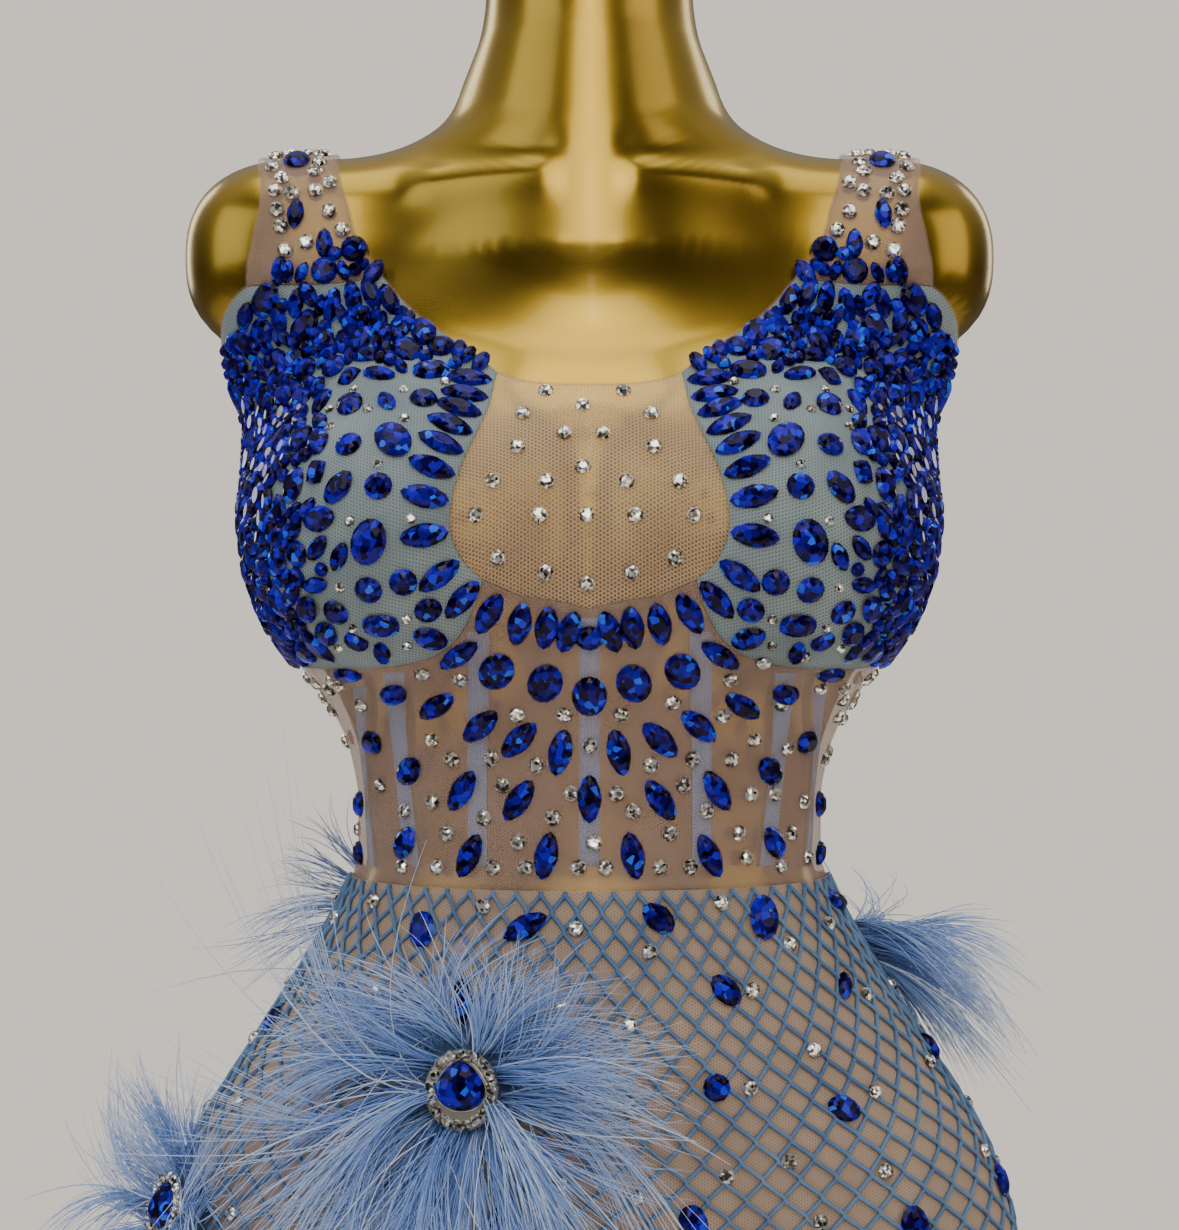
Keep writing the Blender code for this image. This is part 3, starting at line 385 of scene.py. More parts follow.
def evenly(line):
    # the same chart line with its points one cloth point apart
    walked = np.r_[0, np.cumsum(np.linalg.norm(np.diff(line, axis=0), axis=1))]
    count = max(2, round(walked[-1] / cloth["point"]))
    at = np.linspace(0, walked[-1], count + 1)
    return np.c_[np.interp(at, walked, line[:, 0]), np.interp(at, walked, line[:, 1])]


def straight(start, end):
    return evenly(np.array((start, end), float))


def mirrored(line, behind=False):
    flipped = line[::-1].copy()
    flipped[:, 0] = (2 * halfTurn if behind else 0) - flipped[:, 0]
    return flipped


def loopOf(*lines):
    return np.concatenate([line[:-1] for line in lines])


def drawnIn(outline, amount):
    # the outline, moved inwards all along
    x, y = outline.T
    if np.sum(x * np.roll(y, -1) - np.roll(x, -1) * y) < 0:
        outline = outline[::-1]
    before = outline - np.roll(outline, 1, axis=0)
    after = np.roll(outline, -1, axis=0) - outline
    before /= np.linalg.norm(before, axis=1)[:, None]
    after /= np.linalg.norm(after, axis=1)[:, None]
    both = np.c_[-before[:, 1], before[:, 0]] + np.c_[-after[:, 1], after[:, 0]]
    scale = 2 / np.maximum((both * both).sum(axis=1), cloth["sharpest"])
    return outline + both * (scale * amount)[:, None]


def insideOf(points, outline):
    x, y = points[:, 0:1], points[:, 1:2]
    x0, y0 = outline[:, 0], outline[:, 1]
    x1, y1 = np.roll(x0, -1), np.roll(y0, -1)
    rise = np.where(y1 == y0, 1, y1 - y0)
    at = x0 + (y - y0) / rise * (x1 - x0)
    return ((((y0 > y) != (y1 > y)) & (x < at)).sum(axis=1) % 2) == 1


def distanceTo(points, outline):
    side = np.roll(outline, -1, axis=0) - outline
    nearest = np.full(len(points), 1e9)
    for a, along in zip(outline, side):
        to = points - a
        t = np.clip(to @ along / (along @ along), 0, 1)
        nearest = np.minimum(nearest, np.linalg.norm(to - t[:, None] * along, axis=1))
    return nearest


def flatCloth():
    # a function that gives how far a chart spot lies round and up the body, measured on the cloth
    turns = np.linspace(*flatGrid["turns"], flatGrid["turnCount"]) * halfTurn
    heights = np.arange(0, chart["chest"] + flatGrid["above"], flatGrid["step"])
    grid = np.array([(t, h) for h in heights for t in turns])
    points = surfaceOf(grid)[0].reshape(len(heights), len(turns), 3)
    steps = np.linalg.norm(np.diff(points, axis=1), axis=2)
    around = np.concatenate([np.zeros((len(heights), 1)), np.cumsum(steps, axis=1)], axis=1)
    middle = int(np.argmin(np.abs(turns)))
    around -= around[:, middle : middle + 1]
    steps = np.linalg.norm(np.diff(points, axis=0), axis=2)
    upward = np.concatenate([np.zeros((1, len(turns))), np.cumsum(steps, axis=0)])

    def value(spots):
        i = np.interp(spots[:, 1], heights, np.arange(len(heights)))
        j = np.interp(spots[:, 0], turns, np.arange(len(turns)))
        i0 = np.minimum(i.astype(int), len(heights) - 2)
        j0 = np.minimum(j.astype(int), len(turns) - 2)
        di, dj = i - i0, j - j0
        both = []
        for walked in (around, upward):
            low = walked[i0, j0] * (1 - dj) + walked[i0, j0 + 1] * dj
            high = walked[i0 + 1, j0] * (1 - dj) + walked[i0 + 1, j0 + 1] * dj
            both.append(low * (1 - di) + high * di)
        return np.array(both).T

    return value


flatAt = flatCloth()


# Node trees
def colourOf(code):
    # a sRGB hex code as linear red, green, blue and alpha
    parts = [int(code[i : i + 2], 16) / 255 for i in (1, 3, 5)]
    return (*[c / 12.92 if c <= 0.04045 else ((c + 0.055) / 1.055) ** 2.4 for c in parts], 1)


def addNode(tree, kind, settings=None, links=None):
    # settings are properties, inputs or a ramp's stops; colours are hex codes
    node = tree.nodes.new(kind)
    for name, value in (settings or {}).items():
        if name == "stops":
            elements = node.color_ramp.elements
            for k, (place, tone) in enumerate(value):
                element = elements[k] if k < 2 else elements.new(place)
                element.position = place
                element.color = colourOf(tone) if isinstance(tone, str) else (tone, tone, tone, 1)
        elif isinstance(name, str) and hasattr(node, name):
            setattr(node, name, value)
        else:
            isColour = isinstance(value, str) and value.startswith("#")
            node.inputs[name].default_value = colourOf(value) if isColour else value
    for name, source in (links or {}).items():
        tree.links.new(source, node.inputs[name])
    return node


def newMaterial(name, settings):
    material = bpy.data.materials.new(name)
    material.use_nodes = True
    tree = material.node_tree
    shader = tree.nodes["Principled BSDF"]
    for socket, value in settings.items():
        shader.inputs[socket].default_value = colourOf(value) if isinstance(value, str) else value
    return material, tree, shader


def clouded(tree, place, size, detail, stops):
    # soft blotches about this many mm wide, as tones
    settings = {"Scale": 1 / (size * mm), "Detail": detail}
    blotches = addNode(tree, "ShaderNodeTexNoise", settings, {"Vector": place}).outputs["Fac"]
    return addNode(tree, "ShaderNodeValToRGB", {"stops": stops}, {0: blotches}).outputs[0]


def patched(tree, place, size, stops):
    # patches about this many mm wide, each of its own tone; used for the stones' painted facet reflections
    cells = addNode(tree, "ShaderNodeTexVoronoi", {"Scale": 1 / (size * mm)}, {"Vector": place})
    spark = addNode(tree, "ShaderNodeSeparateColor", links={0: cells.outputs["Color"]}).outputs[0]
    return addNode(tree, "ShaderNodeValToRGB", {"stops": stops}, {0: spark}).outputs[0]


def raisedBy(tree, shader, height, strength, depth):
    # the finish's relief, its depth in mm
    settings = {"Strength": strength, "Distance": depth * mm}
    relief = addNode(tree, "ShaderNodeBump", settings, {"Height": height})
    tree.links.new(relief.outputs[0], shader.inputs["Normal"])


def grained(tree, shader, place, size, detail, strength, depth):
    # relief whose grains are about this many mm wide
    settings = {"Scale": 1 / (size * mm), "Detail": detail}
    grain = addNode(tree, "ShaderNodeTexNoise", settings, {"Vector": place}).outputs["Fac"]
    raisedBy(tree, shader, grain, strength, depth)


def hexNet(tree, period):
    # a hexagonal net on the piece's own UV, whose unit is a metre: about 0 in a hole, 1 on a thread
    uv = addNode(tree, "ShaderNodeTexCoord").outputs["UV"]
    total = None
    for degrees in (0, 60, 120):
        turn = math.radians(degrees)
        pace = 2 * math.pi / (period * mm)
        way = (math.cos(turn) * pace, math.sin(turn) * pace, 0)
        along = addNode(tree, "ShaderNodeVectorMath", {"operation": "DOT_PRODUCT", 1: way}, {0: uv})
        links = {0: along.outputs["Value"]}
        wave = addNode(tree, "ShaderNodeMath", {"operation": "COSINE"}, links).outputs[0]
        both = {0: total, 1: wave}
        total = addNode(tree, "ShaderNodeMath", {"operation": "ADD"}, both).outputs[0] if total else wave
    share = addNode(tree, "ShaderNodeMath", {"operation": "MULTIPLY", 1: 0.34}, {0: total}).outputs[0]
    stops = ((0.0, 1.0), (0.55, 0.0))
    return addNode(tree, "ShaderNodeValToRGB", {"stops": stops}, {0: share}).outputs[0]


# Materials: sizes of patterns are in mm
def goldPlate():
    # Gold-plated shell under clear lacquer: broad soft reflections with small sharp lamps on top
    settings = {"Metallic": 1.0, "Coat Weight": 0.2, "Coat Roughness": 0.04}
    material, tree, shader = newMaterial("goldPlate", settings)
    place = addNode(tree, "ShaderNodeTexCoord").outputs["Object"]
    haze = clouded(tree, place, 71.4, 3, ((0.3, 0.22), (0.75, 0.3)))
    tree.links.new(haze, shader.inputs["Roughness"])
    tone = clouded(tree, place, 200, 2, ((0.3, "#9B7D26"), (0.7, "#AE9138")))
    tree.links.new(tone, shader.inputs["Base Color"])
    grained(tree, shader, place, 45.5, 1, 0.1, 2)
    return material


def stretchMesh(name, look):
    # Knitted nylon: matt, with a soft sheen at its edges, and holes that let what lies under it through
    settings = {"Roughness": look["rough"], "Sheen Weight": look["sheen"], "Sheen Roughness": 0.5}
    settings["Sheen Tint"] = look["sheenTint"]
    material, tree, shader = newMaterial(name, settings)
    place = addNode(tree, "ShaderNodeTexCoord").outputs["Object"]
    thread = hexNet(tree, look["period"])
    cloudy = clouded(tree, place, 38.5, 3, ((0.3, look["dark"]), (0.7, look["light"])))
    tones = {"data_type": "RGBA", 6: look["hole"]}
    tone = addNode(tree, "ShaderNodeMix", tones, {0: thread, 7: cloudy}).outputs[2]
    tree.links.new(tone, shader.inputs["Base Color"])
    stops = ((0, look["holeCover"]), (1, look["threadCover"]))
    cover = addNode(tree, "ShaderNodeValToRGB", {"stops": stops}, {0: thread}).outputs[0]
    tree.links.new(cover, shader.inputs["Alpha"])
    raisedBy(tree, shader, thread, 0.25, 0.4)
    return material


# A cloth's cover counts twice, because it is a shell of two layers
looks = {
    # period is the hexagon's size in mm: real tulle has 1 mm, drawn coarser so that it shows
    "bib": {
        "rough": 0.7,
        "sheen": 0.15,
        "sheenTint": "#F0DCC0",
        "period": 1.5,
        "dark": "#D0AE8A",
        "light": "#E0C29C",
        "hole": "#D4B690",
        "holeCover": 0.1,
        "threadCover": 0.42,
    },
    "nude": {
        "rough": 0.8,
        "sheen": 0.25,
        "sheenTint": "#F0D8C4",
        "period": 1.3,
        "dark": "#B69888",
        "light": "#CAAC9C",
        "hole": "#BEA090",
        "holeCover": 0.14,
        "threadCover": 0.38,
    },
    "cup": {
        "rough": 0.8,
        "sheen": 0.3,
        "sheenTint": "#C8D4D8",
        "period": 1.3,
        "dark": "#76858A",
        "light": "#909FA0",
        "hole": "#66767C",
        "holeCover": 0.85,
        "threadCover": 0.97,
    },
    "skirt": {
        "rough": 0.8,
        "sheen": 0.25,
        "sheenTint": "#F0DCC4",
        "period": 1.3,
        "dark": "#AC9686",
        "light": "#C0A894",
        "hole": "#B49E8C",
        "holeCover": 0.55,
        "threadCover": 0.8,
    },
}


def satinBand():
    # Woven polyester boning channel: smooth, with fine ribs along it. Its blue is stronger than it
    # looks, because the mesh over it pales it
    settings = {"Roughness": 0.55, "Sheen Weight": 0.3, "Sheen Tint": "#C6D8EC"}
    material, tree, shader = newMaterial("satinBand", settings)
    place = addNode(tree, "ShaderNodeTexCoord").outputs["Object"]
    tone = clouded(tree, place, 16.7, 3, ((0.3, "#129CF0"), (0.7, "#30B0FF")))
    tree.links.new(tone, shader.inputs["Base Color"])
    rib = 0.5236
    settings = {"Scale": math.pi / (10 * rib * mm), "bands_direction": "Z"}
    ribs = addNode(tree, "ShaderNodeTexWave", settings, {"Vector": place})
    raisedBy(tree, shader, ribs.outputs["Fac"], 0.2, 0.2)
    return material


def netCord():
    # Knitted nylon fishnet: soft steel blue with a fine twist
    settings = {"Roughness": 0.75, "Sheen Weight": 0.15, "Sheen Tint": "#B8CCE0"}
    material, tree, shader = newMaterial("netCord", settings)
    place = addNode(tree, "ShaderNodeTexCoord").outputs["Object"]
    tone = clouded(tree, place, 28.6, 3, ((0.3, "#466896"), (0.7, "#6486B0")))
    tree.links.new(tone, shader.inputs["Base Color"])
    grained(tree, shader, place, 0.556, 1, 0.3, 0.2)
    return material


def featherBarb():
    # Dyed ostrich, matt at the root and silky at the tip: its tone darkens towards the root as painted
    # shade where the barbs crowd together, and pales towards the tip
    material, tree, shader = newMaterial("featherBarb", {"Roughness": 0.6})
    along = addNode(tree, "ShaderNodeAttribute", {"attribute_name": "along"}).outputs["Fac"]
    tone = addNode(tree, "ShaderNodeAttribute", {"attribute_name": "tone"}).outputs["Fac"]
    # painted shade: this ramp's root end is darker for the shade among the crowded barbs
    stops = ((0.0, "#6E90CE"), (0.2, "#94B8F2"), (0.55, "#AACAFF"), (1.0, "#CADEFF"))
    length = addNode(tree, "ShaderNodeValToRGB", {"stops": stops}, {0: along}).outputs[0]
    stops = ((0.0, "#C4D0E8"), (0.6, "#FFFFFF"))
    clump = addNode(tree, "ShaderNodeValToRGB", {"stops": stops}, {0: tone}).outputs[0]
    darkened = {"data_type": "RGBA", "blend_type": "MULTIPLY", 0: 1.0}
    shade = addNode(tree, "ShaderNodeMix", darkened, {6: length, 7: clump}).outputs[2]
    stops = ((0.84, 0.0), (0.97, 1.0))
    pale = addNode(tree, "ShaderNodeValToRGB", {"stops": stops}, {0: tone}).outputs[0]
    paler = {"data_type": "RGBA", 7: "#D6E2F6"}
    whole = addNode(tree, "ShaderNodeMix", paler, {0: pale, 6: shade}).outputs[2]
    tree.links.new(whole, shader.inputs["Base Color"])
    return material


def sapphireGlass():
    # Pressed flat-back glass with a foil: deep blue, painted with reflections in patches a few mm wide,
    # each its own tone from near black to bright blue, a few of them painted cyan glints; sharp white
    # glints
    settings = {"Roughness": 0.04, "IOR": 1.6, "Specular IOR Level": 0.1}
    material, tree, shader = newMaterial("sapphireGlass", settings)
    place = addNode(tree, "ShaderNodeTexCoord").outputs["Object"]
    # painted reflections: patch tones stand in for light off inner facets, the last stop a painted cyan
    # glint
    stops = ((0.0, "#040010"), (0.35, "#0E003A"), (0.68, "#1C0086"), (0.93, "#2600D0"), (0.99, "#2C6CFF"))
    tree.links.new(patched(tree, place, 3.0303, stops), shader.inputs["Base Color"])
    return material


def crystalFoil():
    # Clear crystal over silver foil, partly metallic: each patch is a painted reflection from near black to
    # near white, for the part of the room a facet mirrors
    material, tree, shader = newMaterial("crystalFoil", {"Metallic": 0.7, "Roughness": 0.05})
    place = addNode(tree, "ShaderNodeTexCoord").outputs["Object"]
    # painted reflections: patch tones from dark to near white
    stops = ((0.0, "#1E1C1A"), (0.35, "#8E897E"), (0.65, "#FFFDF6"))
    tree.links.new(patched(tree, place, 1.4286, stops), shader.inputs["Base Color"])
    return material


def silverSetting():
    # Stamped nickel-plated claw setting
    settings = {"Base Color": "#B9B6AE", "Metallic": 1.0, "Roughness": 0.3}
    material, tree, shader = newMaterial("silverSetting", settings)
    place = addNode(tree, "ShaderNodeTexCoord").outputs["Object"]
    grained(tree, shader, place, 1.11, 2, 0.3, 0.2)
    return material


def felt():
    # Pressed wool pad that the feathers are glued in
    material, tree, shader = newMaterial("felt", {"Roughness": 0.95, "Sheen Weight": 0.4})
    place = addNode(tree, "ShaderNodeTexCoord").outputs["Object"]
    tone = clouded(tree, place, 1.43, 4, ((0.3, "#2B3E58"), (0.7, "#405A7C")))
    tree.links.new(tone, shader.inputs["Base Color"])
    grained(tree, shader, place, 0.667, 2, 0.6, 0.4)
    return material


finishes = {
    "goldPlate": goldPlate(),
    "bibTulle": stretchMesh("bibTulle", looks["bib"]),
    "nudeMesh": stretchMesh("nudeMesh", looks["nude"]),
    "skirtMesh": stretchMesh("skirtMesh", looks["skirt"]),
    "cupMesh": stretchMesh("cupMesh", looks["cup"]),
    "satinBand": satinBand(),
    "netCord": netCord(),
    "featherBarb": featherBarb(),
    "sapphireGlass": sapphireGlass(),
    "crystalFoil": crystalFoil(),
    "silverSetting": silverSetting(),
    "felt": felt(),
}
print("materials made")


# Making pieces
def pieceOf(name, mesh, finish):
    obj = bpy.data.objects.new(name, mesh)
    bpy.context.scene.collection.objects.link(obj)
    if finish:
        mesh.materials.clear()
        mesh.materials.append(finishes[finish])
    return obj


def meshOf(name, points, faces, edges=()):
    mesh = bpy.data.meshes.new(name)
    mesh.from_pydata([tuple(p) for p in points], [tuple(e) for e in edges], [tuple(f) for f in faces])
    mesh.update()
    return mesh


def facedOut(mesh):
    # turns a closed mesh's faces outwards
    bm = bmesh.new()
    bm.from_mesh(mesh)
    bmesh.ops.recalc_face_normals(bm, faces=bm.faces)
    bm.to_mesh(mesh)
    bm.free()
    return mesh


def settled(obj, finish):
    # the evaluated object as a plain mesh with no modifiers
    graph = bpy.context.evaluated_depsgraph_get()
    mesh = bpy.data.meshes.new_from_object(obj.evaluated_get(graph))
    obj.modifiers.clear()
    obj.data = mesh
    mesh.materials.clear()
    mesh.materials.append(finishes[finish])
    return obj


def belongs(obj, node=None):
    # the piece rides on the one body, and is shown in place of a node of the solids
    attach(obj, "root")
    if node:
        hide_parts(node)


# The form
form = {
    "columns": 208,
    "lowStep": 4.5,
    "riseStep": 0.95,
    "riseTop": 74,
    "neckStep": 4.5,
    "edge": 3,
    "edgeRings": 5,
    "sharpFrom": 50,  # degrees between faces past which an edge stays sharp
    # a slight ridge below the neck with a crease above it
    "ridge": {
        "high": 2.0,
        "z": 796,
        "wide": 8,
        "crease": 1.4,
        "creaseZ": 807,
        "from": 8,
        "fadesIn": 14,
        "to": 86,
        "fadesOut": 18,
        "frontFrom": 8,
        "frontFade": 12,
    },
}


def ridged(points):
    # the form's points with the ridge raised in front, clear of the straps
    ridge = form["ridge"]
    x, y, z = np.abs(points[:, 0]), points[:, 1], points[:, 2]
    inner = np.clip((x - ridge["from"]) / ridge["fadesIn"], 0, 1)
    ends = inner * np.clip((ridge["to"] - x) / ridge["fadesOut"], 0, 1)
    front = np.clip((-y - ridge["frontFrom"]) / ridge["frontFade"], 0, 1)
    rise = ridge["high"] * np.exp(-(((z - ridge["z"]) / ridge["wide"]) ** 2))
    fall = ridge["crease"] * np.exp(-(((z - ridge["creaseZ"]) / ridge["wide"]) ** 2))
    amount = (rise - fall) * ends * ends * (3 - 2 * ends) * front
    return points + normalsOf(formField, points) * amount[:, None]


def makeForm():
    columns = form["columns"]
    turns = np.arange(columns) * 2 * math.pi / columns
    across = turns * chart["width"]

    def ringAt(z, inset=0.0):
        starts = np.tile((0, 0, float(z)), (columns, 1))
        ways = np.c_[np.sin(turns), -np.cos(turns), np.zeros(columns)]
        return starts + ways * (castLines(formField, starts, ways) - inset)[:, None]

    edge = form["edge"]
    leans = [k / (form["edgeRings"] - 1) * math.pi / 2 for k in range(form["edgeRings"])]
    rings = [ringAt(edge * (1 - math.cos(lean)), edge * (1 - math.sin(lean))) for lean in leans]
    rings += [ringAt(z) for z in np.arange(form["lowStep"] + edge, chart["chest"], form["lowStep"])]
    for rise in np.arange(0, form["riseTop"] + 0.01, form["riseStep"]):
        high = chart["chest"] + chart["rise"] * math.radians(rise)
        rings.append(ridged(surfaceOf(np.c_[across, np.full(columns, high)], formField)[0]))
    top = body["neck"]["topZ"]
    start = rings[-1][:, 2].max() + form["neckStep"]
    rings += [ringAt(z) for z in np.arange(start, top - edge, form["neckStep"])]
    rings += [ringAt(top - edge * (1 - math.sin(lean)), edge * (1 - math.cos(lean))) for lean in leans]
    points = np.concatenate(rings) * mm
    faces = []
    for r in range(len(rings) - 1):
        for k in range(columns):
            after = (k + 1) % columns
            low, high = r * columns, (r + 1) * columns
            faces.append((low + k, low + after, high + after, high + k))
    faces.append(tuple(range(columns))[::-1])
    faces.append(tuple(range((len(rings) - 1) * columns, len(rings) * columns)))
    mesh = meshOf("goldForm", points, faces)
    mesh.shade_smooth()
    mesh.set_sharp_from_angle(angle=math.radians(form["sharpFrom"]))
    belongs(pieceOf("goldForm", mesh, "goldPlate"), "dress_form")


makeForm()
print("form made")


def netOfPoints(outline):
    # the chart points of a staggered grid inside an outline
    low, high = outline.min(axis=0), outline.max(axis=0)
    step = cloth["point"]
    rows = np.arange(low[1], high[1], step * cloth["rowShare"])
    columns = np.arange(low[0], high[0], step)
    points = np.array([(x + (step / 2 if k % 2 else 0), y) for k, y in enumerate(rows) for x in columns])
    points = points[insideOf(points, outline)]
    return points[distanceTo(points, outline) > step * cloth["edgeShare"]]


def makeCloth(name, outline, finish, node, drawIn=True, lift=None):
    # a thin shell over a chart outline, its outside where the solid wall's is or lifted off the form
    if drawIn:
        outline = drawnIn(outline, cloth["seamGap"] / 2)
    others = netOfPoints(outline)
    spots = [Vector(p) for p in np.concatenate([outline, others])]
    verts, _, tris, _, _, _ = delaunay_2d_cdt(spots, [], [list(range(len(outline)))], 1, 1e-4)
    spots = np.array([tuple(v) for v in verts])
    points, out = surfaceOf(spots)
    height = heldOff(points[:, 2]) + cloth["wall"] if lift is None else np.full(len(points), lift)
    mesh = meshOf(name, (points + out * height[:, None]) * mm, tris)
    flat = flatAt(spots) * mm
    uv = mesh.uv_layers.new(name="cloth")
    corners = np.zeros(len(mesh.loops), np.int32)
    mesh.loops.foreach_get("vertex_index", corners)
    uv.data.foreach_set("uv", flat[corners].astype(np.float32).ravel())
    mesh.shade_smooth()
    obj = pieceOf(name, mesh, finish)
    solid = obj.modifiers.new("thickness", "SOLIDIFY")
    solid.thickness = cloth["thickness"] * mm
    solid.offset = -1
    facedOut(settled(obj, finish).data)
    belongs(obj, node)
    return obj


lines = {name: seamLine(name) for name in seams}
lines["sideCup"] = straight((quarterTurn, cloth["sideTop"]), (quarterTurn, cloth["underbustSide"]))
lines["sideMiddle"] = straight((quarterTurn, cloth["underbustSide"]), (quarterTurn, cloth["hipSeam"]))
lines["sideSkirt"] = straight((quarterTurn, cloth["hipSeam"]), (quarterTurn, cloth["hem"]))
lines["hipFront"] = straight((quarterTurn, cloth["hipSeam"]), (-quarterTurn, cloth["hipSeam"]))
lines["hemFront"] = straight((quarterTurn, cloth["hem"]), (-quarterTurn, cloth["hem"]))
lines["hipBack"] = straight((3 * quarterTurn, cloth["hipSeam"]), (quarterTurn, cloth["hipSeam"]))
lines["hemBack"] = straight((3 * quarterTurn, cloth["hem"]), (quarterTurn, cloth["hem"]))


def outlines():
    s = lines
    cup = loopOf(
        s["neckCup"], s["strapFront"], s["armholeFront"], s["sideCup"], s["underbust"], s["ringUpper"][::-1]
    )
    strap = loopOf(s["strapInner"], s["strapBack"], s["strapOuter"][::-1], s["strapFront"][::-1])
    bib = loopOf(
        s["neckBib"], s["ringUpper"], s["ringLower"],
        mirrored(s["ringLower"]), mirrored(s["ringUpper"]), mirrored(s["neckBib"]),
    )
    midriff = loopOf(
        s["ringLower"][::-1], s["underbust"][::-1], s["sideMiddle"], s["hipFront"],
        mirrored(s["sideMiddle"]), mirrored(s["underbust"][::-1]), mirrored(s["ringLower"][::-1]),
    )
    back = loopOf(
        s["backNeck"], mirrored(s["backNeck"], True), mirrored(s["strapBack"][::-1], True),
        mirrored(s["armholeBack"][::-1], True), mirrored(s["sideCup"][::-1], True),
        mirrored(s["sideMiddle"][::-1], True), s["hipBack"], s["sideMiddle"][::-1],
        s["sideCup"][::-1], s["armholeBack"][::-1], s["strapBack"][::-1],
    )
    skirtFront = loopOf(s["hipFront"][::-1], s["sideSkirt"], s["hemFront"], mirrored(s["sideSkirt"]))
    leftSide = s["sideSkirt"] + np.array((2 * quarterTurn, 0))
    skirtBack = loopOf(s["hipBack"][::-1], leftSide, s["hemBack"], s["sideSkirt"][::-1])
    return {"cup": cup, "strap": strap, "bib": bib, "midriff": midriff, "back": back,
            "skirtFront": skirtFront, "skirtBack": skirtBack}


cuts = outlines()
sheets = {}
for side, word in ((1, "Right"), (-1, "Left")):
    for part, finish, slot in (("cup", "cupMesh", "grey_mesh"), ("strap", "nudeMesh", "nude_mesh")):
        name = part + word
        sheets[name] = makeCloth(name, cuts[part] * (side, 1), finish, f"{part}_{word.lower()}")
for name, cut, finish, slot, node in (
    ("bibTulle", "bib", "bibTulle", "nude_mesh", "bib"),
    ("midriffMesh", "midriff", "nudeMesh", "nude_mesh", "midriff"),
    ("backMesh", "back", "nudeMesh", "nude_mesh", "back"),
    ("skirtFront", "skirtFront", "skirtMesh", "net", "skirt_front"),
    ("skirtBack", "skirtBack", "skirtMesh", "net", "skirt_back"),
):
    sheets[name] = makeCloth(name, cuts[cut], finish, node)
print("cloth made")


# Boning bands, between the midriff and the form
bands = {
    # piece, x at the hip seam, x at the top, z at the top
    "rows": (("Centre", 0, 0, 604), ("Inner", 50, 50, 598), ("Outer", 79, 88, 580), ("Side", 97, 103, 574)),
    "bottom": 492,
    "width": 8.5,
    "lift": 1.6,
    "parts": 40,
}


def makeBands():
    for word, lowX, highX, top in bands["rows"]:
        for side in (1, -1) if highX else (1,):
            share = np.linspace(0, 1, bands["parts"])
            xs = side * (lowX + (highX - lowX) * share)
            zs = bands["bottom"] + (top - bands["bottom"]) * share
            line = seen("front", np.c_[xs, zs])
            radius = np.hypot(*surfaceOf(line)[0][:, :2].T)
            reach = np.c_[bands["width"] / 2 * chart["width"] / radius, np.zeros(len(line))]
            outline = np.concatenate([line + reach, (line - reach)[::-1]])
            sideWord = {1: "Right", -1: "Left"}[side] if highX else ""
            node = "_".join(["band", word.lower(), sideWord.lower()]).rstrip("_")
            makeCloth("band" + word + sideWord, outline, "satinBand", node, False, bands["lift"])


makeBands()
print("bands made")


# Stones
stoneKinds = {
    # width, length, sides, how pointed its ends are (0 none, 1 one end, 2 both), squareness
    "navette": (10, 21, 12, 2, 2),
    "leaf": (11, 16.5, 12, 1, 2),
    "dart": (7.5, 14, 10, 2, 2),
    "oval": (15, 20, 14, 0, 2),
    "pebble": (12, 16, 12, 0, 2.5),
    "round": (12, 12, 12, 0, 2),
    "slim": (8, 17, 10, 0, 2),
    "block": (8, 11, 8, 0, 5),
    "bead": (6.5, 6.5, 10, 0, 2),
    "seed": (5.5, 10.5, 10, 2, 2),
    "crystal": (7.2, 7.2, 8, 0, 2),
    "crystalSmall": (4.6, 4.6, 8, 0, 2),
}
stoneHeight = {"blue": 3.4, "crystal": 2.6, "crystalSmall": 1.9}
# height, growth, turned by half a side
stoneRings = ((0, 0.92, 0), (0.2, 1, 0), (0.66, 0.8, 0.5), (1, 0.5, 0))
stoneTips = {"widen": 1.04, "power": 1.4}  # what draws an end out to a point
stoneSeating = {
    "sink": 0.15,  # how deep a stone's glue lets it into the cloth
    "overNet": 1.2,  # how much higher one stands where the net lies under it
    "looseGap": 0.3,  # least distance of a strewn rhinestone from a stone
    "roundEnd": 0.5,  # radius of a stone's bounds at its ends, as a share of its width
    "pointedEnd": 0.3,
    "facing": 0.35,  # how far the cloth must face the front or back for a turn to be read as seen
}


def stonePrototype(kind):
    # a faceted stone of size 1 each way, its base at z 0
    _, _, sides, pointed, square = stoneKinds[kind]
    rings = []
    for z, grow, half in stoneRings:
        ring = []
        for k in range(sides):
            angle = 2 * math.pi * (k + half) / sides
            u, v = math.sin(angle), math.cos(angle)
            if pointed == 2 or (pointed == 1 and v > 0):
                u, v = u * stoneTips["widen"], math.copysign(abs(v) ** stoneTips["power"], v)
            if square != 2:
                size = (abs(u) ** square + abs(v) ** square) ** (1 / square)
                u, v = u / size, v / size
            ring.append((u / 2 * grow, v / 2 * grow, z))
        rings.append(ring)
    points = [p for ring in rings for p in ring]
    faces = [tuple(range(sides))]
    for k in range(sides):
        after = (k + 1) % sides
        faces.append((k, sides + k, sides + after, after))
        low, middle, high = sides, 2 * sides, 3 * sides
        faces.append((low + k, middle + k, low + after))
        faces.append((low + after, middle + k, middle + after))
        faces.append((middle + k, high + after, middle + after))
        faces.append((middle + k, high + k, high + after))
    faces.append(tuple(range(3 * sides, 4 * sides))[::-1])
    return facedOut(meshOf("stone" + kind, points, faces))


stoneCollection = bpy.data.collections.new("stonePrototypes")
kindNames = sorted(stoneKinds)
for kindName in kindNames:
    stoneCollection.objects.link(bpy.data.objects.new("prototype_" + kindName, stonePrototype(kindName)))


def addSockets(tree, *inputs):
    # a tree's named inputs, and its one output
    for name, kind in inputs:
        tree.interface.new_socket(name, in_out="INPUT", socket_type="NodeSocket" + kind)
    tree.interface.new_socket("Made", in_out="OUTPUT", socket_type="NodeSocketGeometry")


